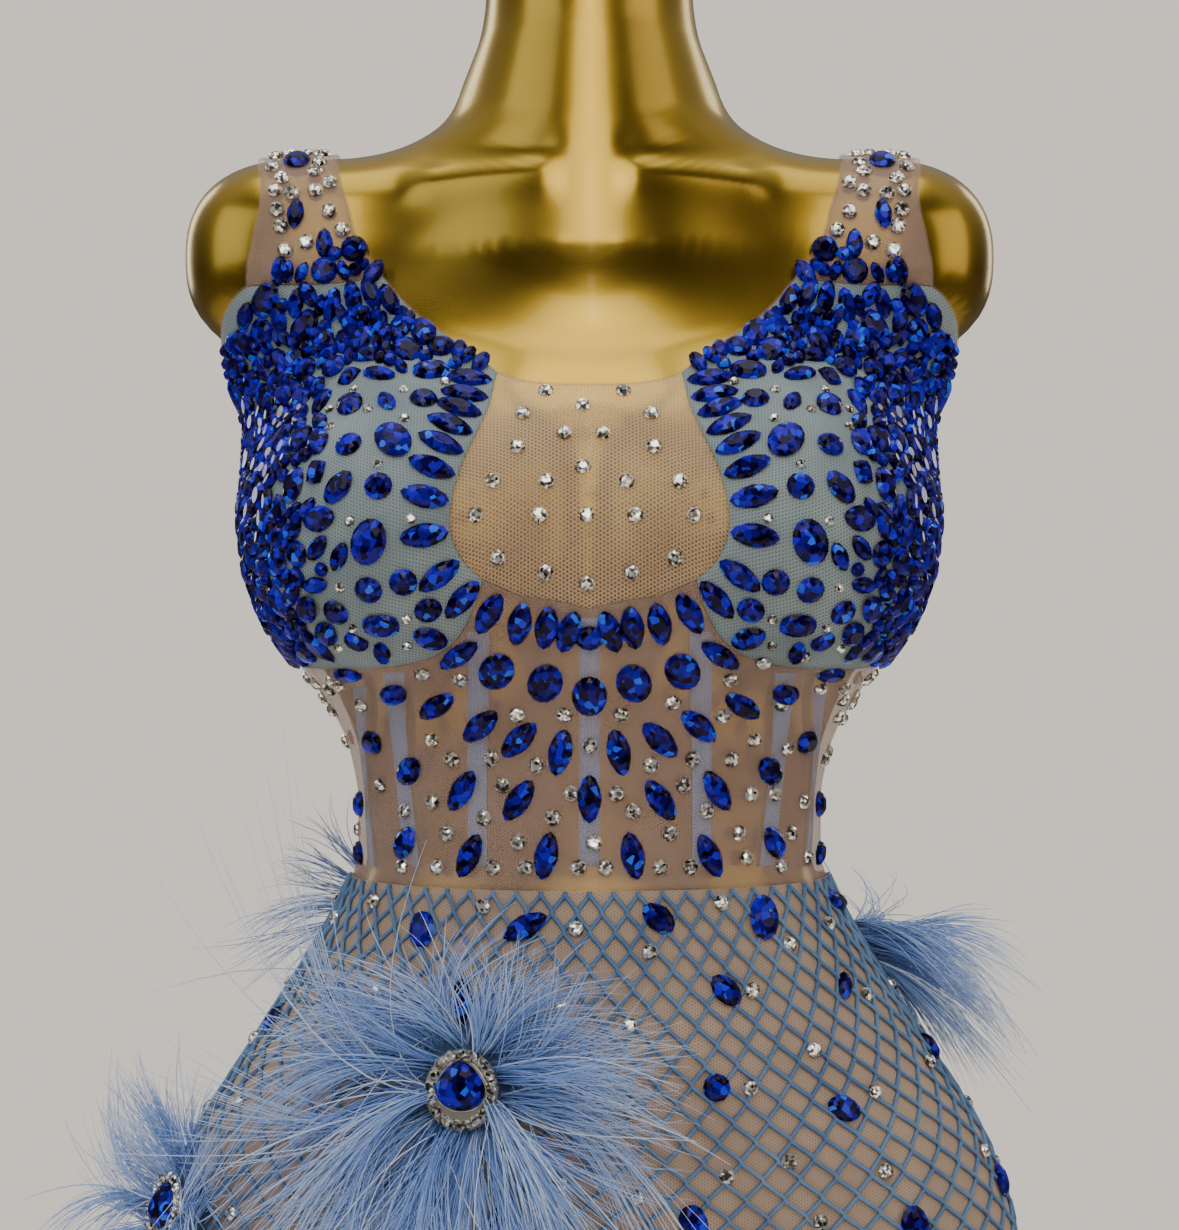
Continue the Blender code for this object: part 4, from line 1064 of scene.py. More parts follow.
def finishTree(tree, last, given):
    # what every tree ends in
    real = addNode(tree, "GeometryNodeRealizeInstances", links={"Geometry": last.outputs[0]})
    links = {"Geometry": real.outputs[0], "Material": given["Finish"]}
    done = addNode(tree, "GeometryNodeSetMaterial", links=links)
    addNode(tree, "NodeGroupOutput", links={0: done.outputs[0]})


def stoneTree():
    # Geometry Nodes: a prototype on each point, turned and sized by the point's attributes
    tree = bpy.data.node_groups.new("setStones", "GeometryNodeTree")
    inputs = (("Points", "Geometry"), ("Stones", "Collection"), ("Growth", "Float"), ("Finish", "Material"))
    addSockets(tree, *inputs)
    given = addNode(tree, "NodeGroupInput").outputs
    apartOnes = {"Separate Children": True, "Reset Children": True}
    kinds = addNode(tree, "GeometryNodeCollectionInfo", apartOnes, {"Collection": given["Stones"]})
    kind = addNode(tree, "GeometryNodeInputNamedAttribute", {"data_type": "INT", "Name": "kind"})
    turn = addNode(tree, "GeometryNodeInputNamedAttribute", {"data_type": "QUATERNION", "Name": "turn"})
    size = addNode(tree, "GeometryNodeInputNamedAttribute", {"data_type": "FLOAT_VECTOR", "Name": "size"})
    links = {0: size.outputs[0], "Scale": given["Growth"]}
    grown = addNode(tree, "ShaderNodeVectorMath", {"operation": "SCALE"}, links)
    placed = addNode(tree, "GeometryNodeInstanceOnPoints", {"Pick Instance": True}, {
        "Points": given["Points"],
        "Instance": kinds.outputs[0],
        "Instance Index": kind.outputs[0],
        "Rotation": turn.outputs[0],
        "Scale": grown.outputs[0],
    })
    finishTree(tree, placed, given)
    return tree


def setInputs(modifier, tree, values):
    # sets a modifier's inputs by their sockets' identifiers
    for item in tree.interface.items_tree:
        if item.in_out == "INPUT" and item.name in values:
            modifier[item.identifier] = values[item.name]


setStones = stoneTree()


class StoneSet:
    # stones gathered for one piece, as kinds, places, frames and sizes
    def __init__(self):
        self.kinds, self.places, self.turns, self.sizes = [], [], [], []

    def add(self, kind, place, along, out, grow=1.0, height=None):
        width, length = stoneKinds[kind][:2]
        across = np.cross(along, out)
        axes = np.array((across, along, out)).T
        self.kinds.append(kindNames.index(kind))
        self.places.append(place)
        self.turns.append(tuple(Matrix(axes.tolist()).to_quaternion()))
        tall = height or stoneHeight.get(kind, stoneHeight["blue"])
        self.sizes.append((width * grow, length * grow, tall))

    def made(self, name, finish):
        mesh = bpy.data.meshes.new(name)
        mesh.from_pydata([tuple(p) for p in np.array(self.places) * mm], [], [])
        mesh.attributes.new("kind", "INT", "POINT").data.foreach_set("value", self.kinds)
        turns = np.array(self.turns, np.float32).ravel()
        mesh.attributes.new("turn", "QUATERNION", "POINT").data.foreach_set("value", turns)
        sizes = (np.array(self.sizes, np.float32) * mm).ravel()
        mesh.attributes.new("size", "FLOAT_VECTOR", "POINT").data.foreach_set("vector", sizes)
        obj = pieceOf(name, mesh, None)
        modifier = obj.modifiers.new("stones", "NODES")
        modifier.node_group = setStones
        values = {"Stones": stoneCollection, "Growth": 1.0, "Finish": finishes[finish]}
        setInputs(modifier, setStones, values)
        return settled(obj, finish)


def leansOf(turns, points, outs):
    # directions in the surface that look turned by this much from upright
    result = []
    for turn, out in zip(turns, outs):
        lean = math.radians(turn)
        facing = -1 if out[1] < 0 else 1
        want = np.array((-facing * math.sin(lean), 0, math.cos(lean)))
        if abs(out[1]) > stoneSeating["facing"]:
            want[1] = -(want[0] * out[0] + want[2] * out[2]) / out[1]
        else:
            level = np.cross(out, (0, 0, 1.0))
            want = level * math.sin(lean) * facing + np.array((0, 0, math.cos(lean)))
        want = want - out * (want @ out)
        result.append(want / np.linalg.norm(want))
    return np.array(result)


midriffStones = (
    # kind, x, z, turn from upright; those off the centre line stand on both sides
    ("oval", 0, 571, 0),
    ("oval", 19.7, 577, 15),
    ("oval", 41.5, 582.5, 23),
    ("navette", 59, 590, 54),
    ("navette", 67.9, 567, 54),
    ("leaf", 86.9, 573, 50),
    ("navette", 12.8, 544, 12),
    ("navette", 30.9, 550, 45),
    ("navette", 48.1, 557, 48),
    ("navette", 0, 522.7, 0),
    ("navette", 30.9, 522, 35),
    ("navette", 55.4, 526.5, 32),
    ("leaf", 78.2, 536, 45),
    ("leaf", 94.3, 550, 45),
    ("navette", 18.9, 497, 11),
    ("navette", 52.2, 497, 25),
    ("leaf", 79.7, 503, 33),
    ("slim", 106.5, 582, 90),
    ("block", 107, 547, 60),
    ("round", 98.5, 520, 0),
    ("dart", 98.5, 498, -45),
    ("round", 0, 597, 0),
)
cupStones = (
    ("oval", 88.1, 681.4, -30),
    ("pebble", 106.4, 696.8, -20),
    ("oval", 98.4, 638.2, 18),
    ("pebble", 93.1, 603.2, 88),
    ("pebble", 71.3, 712.3, 85),
    ("round", 74.9, 699.3, 0),
    ("round", 106.9, 679.3, 0),
    ("round", 94.3, 661.7, 0),
    ("dart", 90.7, 697.8, -35),
    ("leaf", 119.9, 680.7, -8),
    ("pebble", 130.1, 662.2, 10),
    ("leaf", 111.2, 661.3, 38),
    ("leaf", 119.3, 648, 82),
    ("round", 128.5, 633, 0),
    ("dart", 110.7, 632, 25),
    ("round", 98.4, 618, 0),
    ("round", 83.8, 621.2, 0),
    ("round", 73.3, 609.5, 0),
    ("dart", 120.6, 620, 80),
    ("pebble", 81.3, 722, -50),
    ("round", 66.5, 723.4, 0),
    ("leaf", 72.1, 597.4, -65),
    ("block", 99.2, 719.3, 90),
    ("slim", 93.7, 710.3, -78),
    ("navette", 119.6, 594.7, -45),
    ("round", 112, 608.6, 0),
    ("slim", 118.1, 698, 25),
)
strapStones = (
    ("round", 105.4, 769, 0),
    ("dart", 119, 771.5, 0),
    ("dart", 132.1, 785, 8),
    ("pebble", 131.6, 807.5, 0),
    ("dart", 139, 759.5, 8),
    ("seed", 129, 758.5, 25),
    ("seed", 110, 759, -20),
    ("bead", 101.5, 762, 0),
)
skirtStones = (
    ("pebble", -72.7, 462.4, 0),
    ("navette", -28.1, 464.2, -62),
    ("leaf", 29.9, 468.2, 50),
    ("oval", 75.4, 467.8, 0),
    ("navette", 106, 474, 75),
    ("leaf", 59.6, 435.4, 45),
    ("dart", 110.9, 436.3, 0),
    ("dart", -137.9, 420.5, 0),
    ("dart", 148.7, 408.3, 0),
    ("round", 56, 392.2, 0),
    ("leaf", 111.8, 382.3, 70),
    ("oval", -36.7, 330.5, 0),
    ("pebble", 46.1, 331.9, 20),
    ("oval", 143.3, 329.2, 10),
    ("leaf", 180, 349.4, -15),
    ("navette", -90, 268, 15),
    ("leaf", 0, 282, 0),
    ("navette", 95, 272, -15),
    ("leaf", -45, 222, -20),
    ("navette", 50, 215, 12),
    ("leaf", 0, 158, 0),
    ("leaf", 92, 160, 30),
    ("leaf", -92, 160, -30),
    ("pebble", -110.9, 430.4, 0),
    ("navette", -56, 429.5, 0),
)
backStones = (
    ("navette", 0, 640, 0),
    ("navette", 34, 655, 30),
    ("navette", 68, 675, 40),
    ("navette", 0, 590, 0),
    ("navette", 34, 603, 25),
    ("navette", 68, 622, 35),
    ("navette", 0, 540, 0),
    ("navette", 34, 548, 20),
    ("leaf", 66, 562, 30),
)
backSkirtStones = (
    ("leaf", 0, 450, 0),
    ("leaf", 60, 462, 25),
    ("leaf", 30, 400, 10),
    ("leaf", 90, 392, 25),
    ("leaf", 0, 330, 0),
    ("leaf", 75, 318, 15),
    ("leaf", 35, 250, 10),
    ("leaf", 100, 240, 15),
)
ringStones = {"count": 14, "setBack": 11.6, "step": 2}
fill = {
    # kinds in turn, tries, least gap where stones stand apart and where they crowd, least crowding
    "rounds": (
        (("leaf", "slim", "pebble", "dart", "round", "block", "leaf", "dart"), 5000, 1.9, -1.4, 0),
        (("dart", "seed", "bead", "dart", "seed"), 6000, 1.6, -1.9, 0.25),
        (("seed", "bead"), 6000, 1.2, -2.2, 0.5),
    ),
    "seed": 11,
    "strapSeed": 21,
    "turn": 80,
    "denseTurn": 40,
    "denseX": 112,  # beyond this, or above denseZ, stones crowd and overlap
    "denseZ": 708,
    "fades": 22,  # how far it takes to change from one to the other
    "denseEdge": 1.2,
    "openEdge": 3.5,
    "tilt": 14,
    "stack": 0.8,
    "strapFoot": {"x": 104, "z": 768, "slope": 0.42},  # where the crowd ends on the strap
}
# Clear rhinestones: height, then where they lie across
bibCrystals = (
    (703.1, (-19.6, 15.1)),
    (696.8, (-2.9,)),
    (693.2, (-29.9, 27.7)),
    (684.7, (-11, 6.1)),
    (678.8, (-32.6, 29)),
    (670.3, (-2.9,)),
    (664, (-44.3, -19.1, 16.4, 41.2)),
    (649.6, (-52.4, -22.3, -1.1, 20.5, 47.9)),
    (631.1, (-41.6, 38.9)),
    (624.8, (-19.6, 18.7)),
    (619.9, (-1.1,)),
)
midriffCrystals = (
    (590, (-92, 95)),
    (587, (78,)),
    (582, (-75,)),
    (579, (-113, -58, 63)),
    (576, (102,)),
    (568, (-100, 37, 85)),
    (562, (-32, -11, 14, 59)),
    (551, (-69, 72)),
    (547, (0, 86)),
    (541, (-60, -43, 45, 62, 101)),
    (538, (-23, 27)),
    (529, (-90, -38, 41)),
    (525, (-8, 12, 70, 80)),
    (521, (-68, 92)),
    (517, (-80, 19, 51)),
    (514, (-46, -16)),
    (507, (-62, 35, 65, 87)),
    (503, (-31, 2)),
    (496, (68, 94)),
    (491.5, (-81, -66, -42, -28, -5, 7, 31, 44, 83, 105)),
)
strewn = {
    # piece: how many tries, least distance between two, least distance from the edge, seed
    "cup": (1500, 13, 4, 3),
    "strap": (6000, 7.3, 2.8, 4),
    "side": (900, 11.5, 4, 6),
    "back": (900, 23, 4, 7),
    "skirt": (1400, 27, 4, 8),
}
sideFrom = 104  # the midriff's strewn rhinestones lie beyond this, where the table has none
# how far a piece's outline is drawn in for its stones
stoneEdge = {"cup": 1.5, "midriff": 1.0, "strap": 1.0, "back": 1.0, "skirtFront": 2.0, "skirtBack": 2.0}


def stoneAt(kind, spot, point, out, along):
    return {"kind": kind, "spot": spot, "point": point, "out": out, "along": along}


def stonesOf(rows, view, bothSides):
    wanted = []
    for kind, x, z, turn in rows:
        for side in (1, -1) if bothSides and x else (1,):
            wanted.append((kind, side * x, z, -side * turn))
    spots = seen(view, [(x, z) for _, x, z, _ in wanted])
    points, outs = surfaceOf(spots)
    alongs = leansOf([turn for *_, turn in wanted], points, outs)
    return [stoneAt(w[0], *rest) for w, *rest in zip(wanted, spots, points, outs, alongs)]


def otherSide(stone):
    flipped = dict(stone)
    flipped["spot"] = stone["spot"] * (-1, 1)
    for name in ("point", "out", "along"):
        flipped[name] = stone[name] * (-1, 1, 1)
    return flipped


def ringOfStones(line):
    # navettes that stand out from the bib's edge, all along one half of it
    at = surfaceOf(line)[0]
    walked = np.r_[0, np.cumsum(np.linalg.norm(np.diff(at, axis=0), axis=1))]
    found = []
    for k in range(ringStones["count"]):
        middle = walked[-1] * (k + 0.5) / ringStones["count"]
        steps = [middle - ringStones["step"], middle, middle + ringStones["step"]]
        ends = np.c_[np.interp(steps, walked, line[:, 0]), np.interp(steps, walked, line[:, 1])]
        points, outs = surfaceOf(ends)
        tangent = points[2] - points[0]
        away = np.cross(outs[1], tangent / np.linalg.norm(tangent))
        spot = chartOf((points[1] + away * ringStones["setBack"])[None])[0]
        point, out = surfaceOf(spot)
        along = away - out[0] * (away @ out[0])
        found.append(stoneAt("navette", spot, point[0], out[0], along / np.linalg.norm(along)))
    return found


def capsules(stone):
    # three round bounds of a stone: centres and radii
    width, length, _, pointed, _ = stoneKinds[stone["kind"]]
    reach = max(0.0, (length - width) / 2)
    end = width * stoneSeating["pointedEnd" if pointed else "roundEnd"]
    centres = [stone["point"] + stone["along"] * s * reach for s in (-1, 0, 1)]
    return centres, [end, width / 2, end]


def apart(one, others):
    # the least gap between a stone and others, given as their bounds
    if not others:
        return 1e9
    centres, radii = capsules(one)
    there = np.array([c for bound in others for c in bound[0]])
    size = np.array([r for bound in others for r in bound[1]])
    return min((np.linalg.norm(there - c, axis=1) - size - r).min() for c, r in zip(centres, radii))


def candidates(outline, tries, seed, edge):
    draw = np.random.default_rng(seed)
    low, high = outline.min(axis=0), outline.max(axis=0)
    spots = draw.uniform(low, high, (tries, 2))
    spots = spots[insideOf(spots, outline)]
    return spots[distanceTo(spots, outline) > edge]


def fillStones(outline, taken, seed):
    # smaller stones that fill what the placed ones leave, crowded on the outer and upper cup
    draw = random.Random(seed)
    bounds = [capsules(stone) for stone in taken]
    found = []
    for number, (kinds, tries, openGap, denseGap, leastCrowd) in enumerate(fill["rounds"]):
        spots = candidates(outline, tries, seed + number, fill["denseEdge"])
        fromEdge = distanceTo(spots, outline)
        points, outs = surfaceOf(spots)
        beyond = np.maximum(points[:, 0] - fill["denseX"], points[:, 2] - fill["denseZ"])
        crowded = np.clip(beyond / fill["fades"] + 0.5, 0, 1)
        spread = fill["turn"] + (fill["denseTurn"] - fill["turn"]) * crowded
        turns = spread * [draw.uniform(-1, 1) for _ in spots]
        alongs = leansOf(turns, points, outs)
        for spot, edge, point, out, along, crowd in zip(spots, fromEdge, points, outs, alongs, crowded):
            if crowd < leastCrowd or crowd < 0.5 and edge < fill["openEdge"]:
                continue
            stone = stoneAt(kinds[len(found) % len(kinds)], spot, point, out, along)
            if apart(stone, bounds) < openGap + (denseGap - openGap) * crowd:
                continue
            if crowd > 0.5:
                lean = math.radians(draw.uniform(-fill["tilt"], fill["tilt"]))
                side = np.cross(along, out)
                stone["out"] = out * math.cos(lean) + side * math.sin(lean)
                stone["point"] = point + out * draw.uniform(0, fill["stack"])
            found.append(stone)
            bounds.append(capsules(stone))
    return found


def strewnCrystals(kind, piece, outline, taken):
    # rhinestones strewn between the stones that are there
    tries, least, edge, seed = strewn[piece]
    spots = candidates(outline, tries, seed, edge)
    points, outs = surfaceOf(spots)
    alongs = leansOf(np.zeros(len(spots)), points, outs)
    bounds = [capsules(stone) for stone in taken]
    kept = []
    found = []
    for spot, point, out, along in zip(spots, points, outs, alongs):
        if kept and np.linalg.norm(np.array(kept) - point, axis=1).min() < least:
            continue
        stone = stoneAt(kind, spot, point, out, along)
        if apart(stone, bounds) < stoneSeating["looseGap"]:
            continue
        kept.append(point)
        found.append(stone)
    return found


def crystalsOf(rows):
    places = [("crystal", x, z, 0) for z, xs in rows for x in xs]
    return stonesOf(places, "front", False)


def setPiece(name, stones, finish, node, raised=0.0):
    # one plain mesh of all of a piece's stones
    gathered = StoneSet()
    for stone in stones:
        height = heldOff(stone["point"][2]) + cloth["wall"] - stoneSeating["sink"] + raised
        gathered.add(stone["kind"], stone["point"] + stone["out"] * height, stone["along"], stone["out"])
    belongs(gathered.made(name, finish), node)


def clearOfPuffs(stones):
    spots = []
    for puff in puffRows:
        place = surfaceOf(seen(puff["view"], (puff["first"], puff["second"])))[0][0]
        spots.append((place, puff["radius"] + puffs["stoneGap"]))
    return [
        stone for stone in stones
        if all(np.linalg.norm(stone["point"] - spot) > least for spot, least in spots)
    ]


# Feather puffs
puffs = {
    # where it is seen from and at which two numbers, the pad's radius, barbs and clumps, how far they
    # reach, the bare part of the pad, pull downwards, extra rise in degrees, how much shorter the
    # upward ones are
    "columns": (
        "word", "node", "view", "first", "second", "radius", "barbs", "clumps", "reach", "bare", "pull",
        "boost", "shorter",
    ),
    "rows": (
        ("Front", "feather_puff_front", "front", -55, 391, 26, 1900, 58, 118, 0.42, 0.1, 0, 0.4),
        ("Left", "feather_puff_left", "turn", -80, 341, 24, 1100, 34, 86, 0.42, 0.05, 12, 0.15),
        ("Right", "feather_puff_right", "turn", 96, 452, 15, 760, 24, 94, 0.3, 0.6, 14, 0.5),
        ("Back", "feather_puff_back", "turn", -112, 468, 15, 300, 16, 80, 0.3, 0.25, 12, 0.2),
    ),
    "thickness": 2.0,
    "dome": 3.5,
    "leastBare": 0.5,
    "rings": 7,
    "sides": 36,
    "gap": 0.5,
    "stoneGap": 4,
}
puffRows = [dict(zip(puffs["columns"], row)) for row in puffs["rows"]]
strands = {
    "points": 10,
    "rimmost": 0.96,  # square of the share of the pad's radius within which clumps spring
    "rootSpread": 0.06,
    "rootDepth": 0.7,
    "lowRise": 7,
    "highRise": 62,
    "riseSpread": 7,
    "barbRiseSpread": 4,
    "riseLimits": (1, 72),
    "bend": (1.25, 0.45),
    "sway": 0.02,
    "waves": 6,
    "droop": 0.17,
    "lengths": (0.4, 1.0),
    "lengthPower": 0.6,  # below 1, more of the barbs are long
    "clumpLengths": (0.62, 1.0),
    "clumpSpread": 14,  # how far a clump strays from straight out, in degrees
    "barbSpread": 4.5,
    "clumpCurl": 0.3,
    "barbCurl": 0.13,
    "flyaways": 0.07,
    "flyawaySpread": 30,
    "flyawayLength": 1.2,
    "farthest": 1.12,
    "leastHeight": 4.5,
    "pushes": 3,  # how often a barb is pushed back out of the dress
    "radius": 0.25,
    "taper": ((0, 0.15, 0.75, 1), (0.9, 1.0, 0.75, 0.25)),
    "thickness": (0.7, 1.2),
    "flyawayThickness": 1.45,
    "tones": (0.1, 0.85),
    "toneSpread": 0.16,
    "flyawayTone": 0.5,
    "sides": 3,
    "seed": 5,
}


def padFrame(view, first, second):
    # a puff's middle, its directions, and what turns moves there into moves on the chart
    spot = seen(view, (first, second))[0]
    points, outs = surfaceOf([spot, spot + (1, 0), spot + (0, 1), spot - (0, 1)])
    out = outs[0]
    level = np.cross((0, 0, 1.0), out)
    level /= np.linalg.norm(level)
    jacobian = np.c_[points[1] - points[0], (points[2] - points[3]) / 2]
    return {
        "spot": spot,
        "point": points[0],
        "out": out,
        "level": level,
        "up": np.cross(out, level),
        "toChart": np.linalg.pinv(jacobian),
    }


def strandTree():
    # Geometry Nodes: tapered barbs along lines of points
    tree = bpy.data.node_groups.new("growBarbs", "GeometryNodeTree")
    addSockets(tree, ("Lines", "Geometry"), ("Radius", "Float"), ("Sides", "Int"), ("Finish", "Material"))
    given = addNode(tree, "NodeGroupInput").outputs
    curves = addNode(tree, "GeometryNodeMeshToCurve", links={"Mesh": given["Lines"]})
    links = {"Resolution": given["Sides"], "Radius": given["Radius"]}
    profile = addNode(tree, "GeometryNodeCurvePrimitiveCircle", links=links)
    thick = addNode(tree, "GeometryNodeInputNamedAttribute", {"data_type": "FLOAT", "Name": "thick"})
    tubes = addNode(tree, "GeometryNodeCurveToMesh", {"Fill Caps": True}, {
        "Curve": curves.outputs[0],
        "Profile Curve": profile.outputs[0],
        "Scale": thick.outputs[0],
    })
    finishTree(tree, tubes, given)
    return tree


growBarbs = strandTree()


def tubesOf(name, lineList, radius, sides, finish, values=None):
    # tubes along lines of points; values are point attributes by name
    points = np.concatenate(lineList) * mm
    edges = []
    start = 0
    for line in lineList:
        edges += [(start + k, start + k + 1) for k in range(len(line) - 1)]
        start += len(line)
    mesh = meshOf(name, points, [], edges)
    values = dict(values or {})
    values.setdefault("thick", np.ones(len(points)))
    for key, numbers in values.items():
        attribute = mesh.attributes.new(key, "FLOAT", "POINT")
        attribute.data.foreach_set("value", np.asarray(numbers, np.float32))
    obj = pieceOf(name, mesh, None)
    modifier = obj.modifiers.new("tubes", "NODES")
    modifier.node_group = growBarbs
    setInputs(modifier, growBarbs, {"Radius": radius * mm, "Sides": sides, "Finish": finishes[finish]})
    settled(obj, finish)
    obj.data.shade_smooth()
    return obj


def onPad(puff, at, places):
    # for places in shares of the pad's radius: the points under it, normals, its foot and its height
    moves = at["level"] * places[:, :1] * puff["radius"] + at["up"] * places[:, 1:] * puff["radius"]
    under, normal = surfaceOf(at["spot"] + moves @ at["toChart"].T)
    foot = heldOff(under[:, 2]) + cloth["wall"] + puffs["gap"]
    bare = max(puff["bare"], puffs["leastBare"])
    domed = np.maximum(1 - (np.linalg.norm(places, axis=1) / bare) ** 2, 0)
    return under, normal, foot, puffs["thickness"] + puffs["dome"] * domed


def makePad(puff, at):
    # a domed disc on the cloth
    rings, sides = puffs["rings"], puffs["sides"]
    disc = [(0.0, 0.0)]
    for r in range(1, rings + 1):
        for k in range(sides):
            angle = 2 * math.pi * k / sides
            disc.append((r / rings * math.cos(angle), r / rings * math.sin(angle)))
    under, normal, foot, dome = onPad(puff, at, np.array(disc))
    low = under + normal * foot[:, None]
    high = under + normal * (foot + dome)[:, None]
    total = len(disc)
    faces = []
    for k in range(sides):
        after = (k + 1) % sides
        faces.append((total, total + 1 + k, total + 1 + after))
        faces.append((0, 1 + after, 1 + k))
        for r in range(rings - 1):
            a, b = 1 + r * sides + k, 1 + r * sides + after
            faces.append((total + a, total + a + sides, total + b + sides, total + b))
            faces.append((a, b, b + sides, a + sides))
        rim, rimAfter = 1 + (rings - 1) * sides + k, 1 + (rings - 1) * sides + after
        faces.append((rim, rimAfter, total + rimAfter, total + rim))
    name = "puffPad" + puff["word"]
    mesh = facedOut(meshOf(name, np.concatenate([low, high]) * mm, faces))
    mesh.shade_smooth()
    belongs(pieceOf(name, mesh, "felt"), puff["node"])


def scattered(draw, clumpOf, clumps, clumpSpread, barbSpread):
    # a draw for each clump, shared by its barbs, and one for each barb
    shared = draw.normal(0, strands[clumpSpread], clumps)[clumpOf]
    return shared + draw.normal(0, strands[barbSpread], len(clumpOf))


def makeBarbs(puff, at, seed):
    # clumps that spring from the pad and spread towards their tips
    draw = np.random.default_rng(seed)
    count, clumps = puff["barbs"], puff["clumps"]
    level, up = at["level"], at["up"]
    turn = 2 * math.pi * (np.arange(clumps) + draw.uniform(0, 1, clumps)) / clumps
    size = np.sqrt(draw.uniform(puff["bare"] ** 2, strands["rimmost"], clumps))
    roots = np.c_[np.cos(turn), np.sin(turn)] * size[:, None]
    clumpOf = np.arange(count) % clumps
    stray = draw.uniform(0, 1, count) < strands["flyaways"]
    places = roots[clumpOf] + draw.normal(0, strands["rootSpread"], (count, 2))
    places /= np.maximum(1, np.linalg.norm(places, axis=1))[:, None]
    under, normal, foot, dome = onPad(puff, at, places)
    root = under + normal * (foot + dome * strands["rootDepth"])[:, None]
    down = (-math.pi / 2 - turn + math.pi) % (2 * math.pi) - math.pi
    turn = turn + down * puff["pull"] + np.radians(draw.normal(0, strands["clumpSpread"], clumps))
    spread = np.where(stray, strands["flyawaySpread"], strands["barbSpread"])
    angle = turn[clumpOf] + np.radians(draw.normal(0, spread))
    shorter = 1 - puff["shorter"] * np.maximum(np.sin(turn), 0)
    grow = draw.uniform(*strands["clumpLengths"], clumps) * shorter
    shares = draw.uniform(*strands["lengths"], count) ** strands["lengthPower"]
    length = puff["reach"] * grow[clumpOf] * shares
    longer = np.minimum(length * strands["flyawayLength"], puff["reach"] * strands["farthest"])
    length = np.where(stray, longer, length)
    inward = 1 - np.linalg.norm(places, axis=1)
    rise = strands["lowRise"] + (strands["highRise"] - strands["lowRise"]) * inward + puff["boost"]
    rise += scattered(draw, clumpOf, clumps, "riseSpread", "barbRiseSpread")
    rise = np.radians(np.clip(rise, *strands["riseLimits"]))
    curl = scattered(draw, clumpOf, clumps, "clumpCurl", "barbCurl")
    wave = draw.uniform(0, 2 * math.pi, count)
    side = level * -np.sin(angle)[:, None] + up * np.cos(angle)[:, None]
    away = level * np.cos(angle)[:, None] + up * np.sin(angle)[:, None]
    share = np.linspace(0, 1, strands["points"])
    firstBend, loss = strands["bend"]
    grid = np.zeros((count, len(share), 3))
    for k, s in enumerate(share):
        out = length * s * np.cos(rise)
        lift = length * s * np.sin(rise) * (firstBend - loss * s)
        sway = length * (curl * s * s + strands["sway"] * s * np.sin(wave + strands["waves"] * s))
        p = root + away * out[:, None] + at["out"] * lift[:, None] + side * sway[:, None]
        p[:, 2] -= strands["droop"] * length * s * s
        if k:
            for _ in range(strands["pushes"]):
                lack = np.maximum(strands["leastHeight"] - dressField(p), 0)
                p = p + normalsOf(dressField, p) * lack[:, None]
        grid[:, k] = p
    taper = np.interp(share, *strands["taper"])
    thick = draw.uniform(*strands["thickness"], count) * np.where(stray, strands["flyawayThickness"], 1)
    tone = draw.uniform(*strands["tones"], clumps)[clumpOf] + draw.normal(0, strands["toneSpread"], count)
    tone += np.where(stray, strands["flyawayTone"], 0)
    values = {
        "thick": np.outer(thick, taper).ravel(),
        "along": np.tile(share, count),
        "tone": np.repeat(np.clip(tone, 0, 1), len(share)),
    }
    name = "barbs" + puff["word"]
    barbs = tubesOf(name, list(grid), strands["radius"], strands["sides"], "featherBarb", values)
    belongs(barbs, puff["node"])


def cupStonesOf(ring, cup):
    # the right cup's blue stones and its rhinestones
    onCup = [stone for stone in ring if insideOf(stone["spot"][None], cup)[0]]
    placed = onCup + stonesOf(cupStones, "front", False)
    placed += fillStones(cup, placed, fill["seed"])
    return placed, strewnCrystals("crystalSmall", "cup", cup, placed)


def strapStonesOf(strap):
    placed = stonesOf(strapStones, "front", False)
    foot = fill["strapFoot"]
    for stone in fillStones(strap, placed, fill["strapSeed"]):
        x, y, z = stone["point"]
        if y < 0 and z < foot["z"] - foot["slope"] * (x - foot["x"]):
            placed.append(stone)
    return placed, strewnCrystals("crystal", "strap", strap, placed)


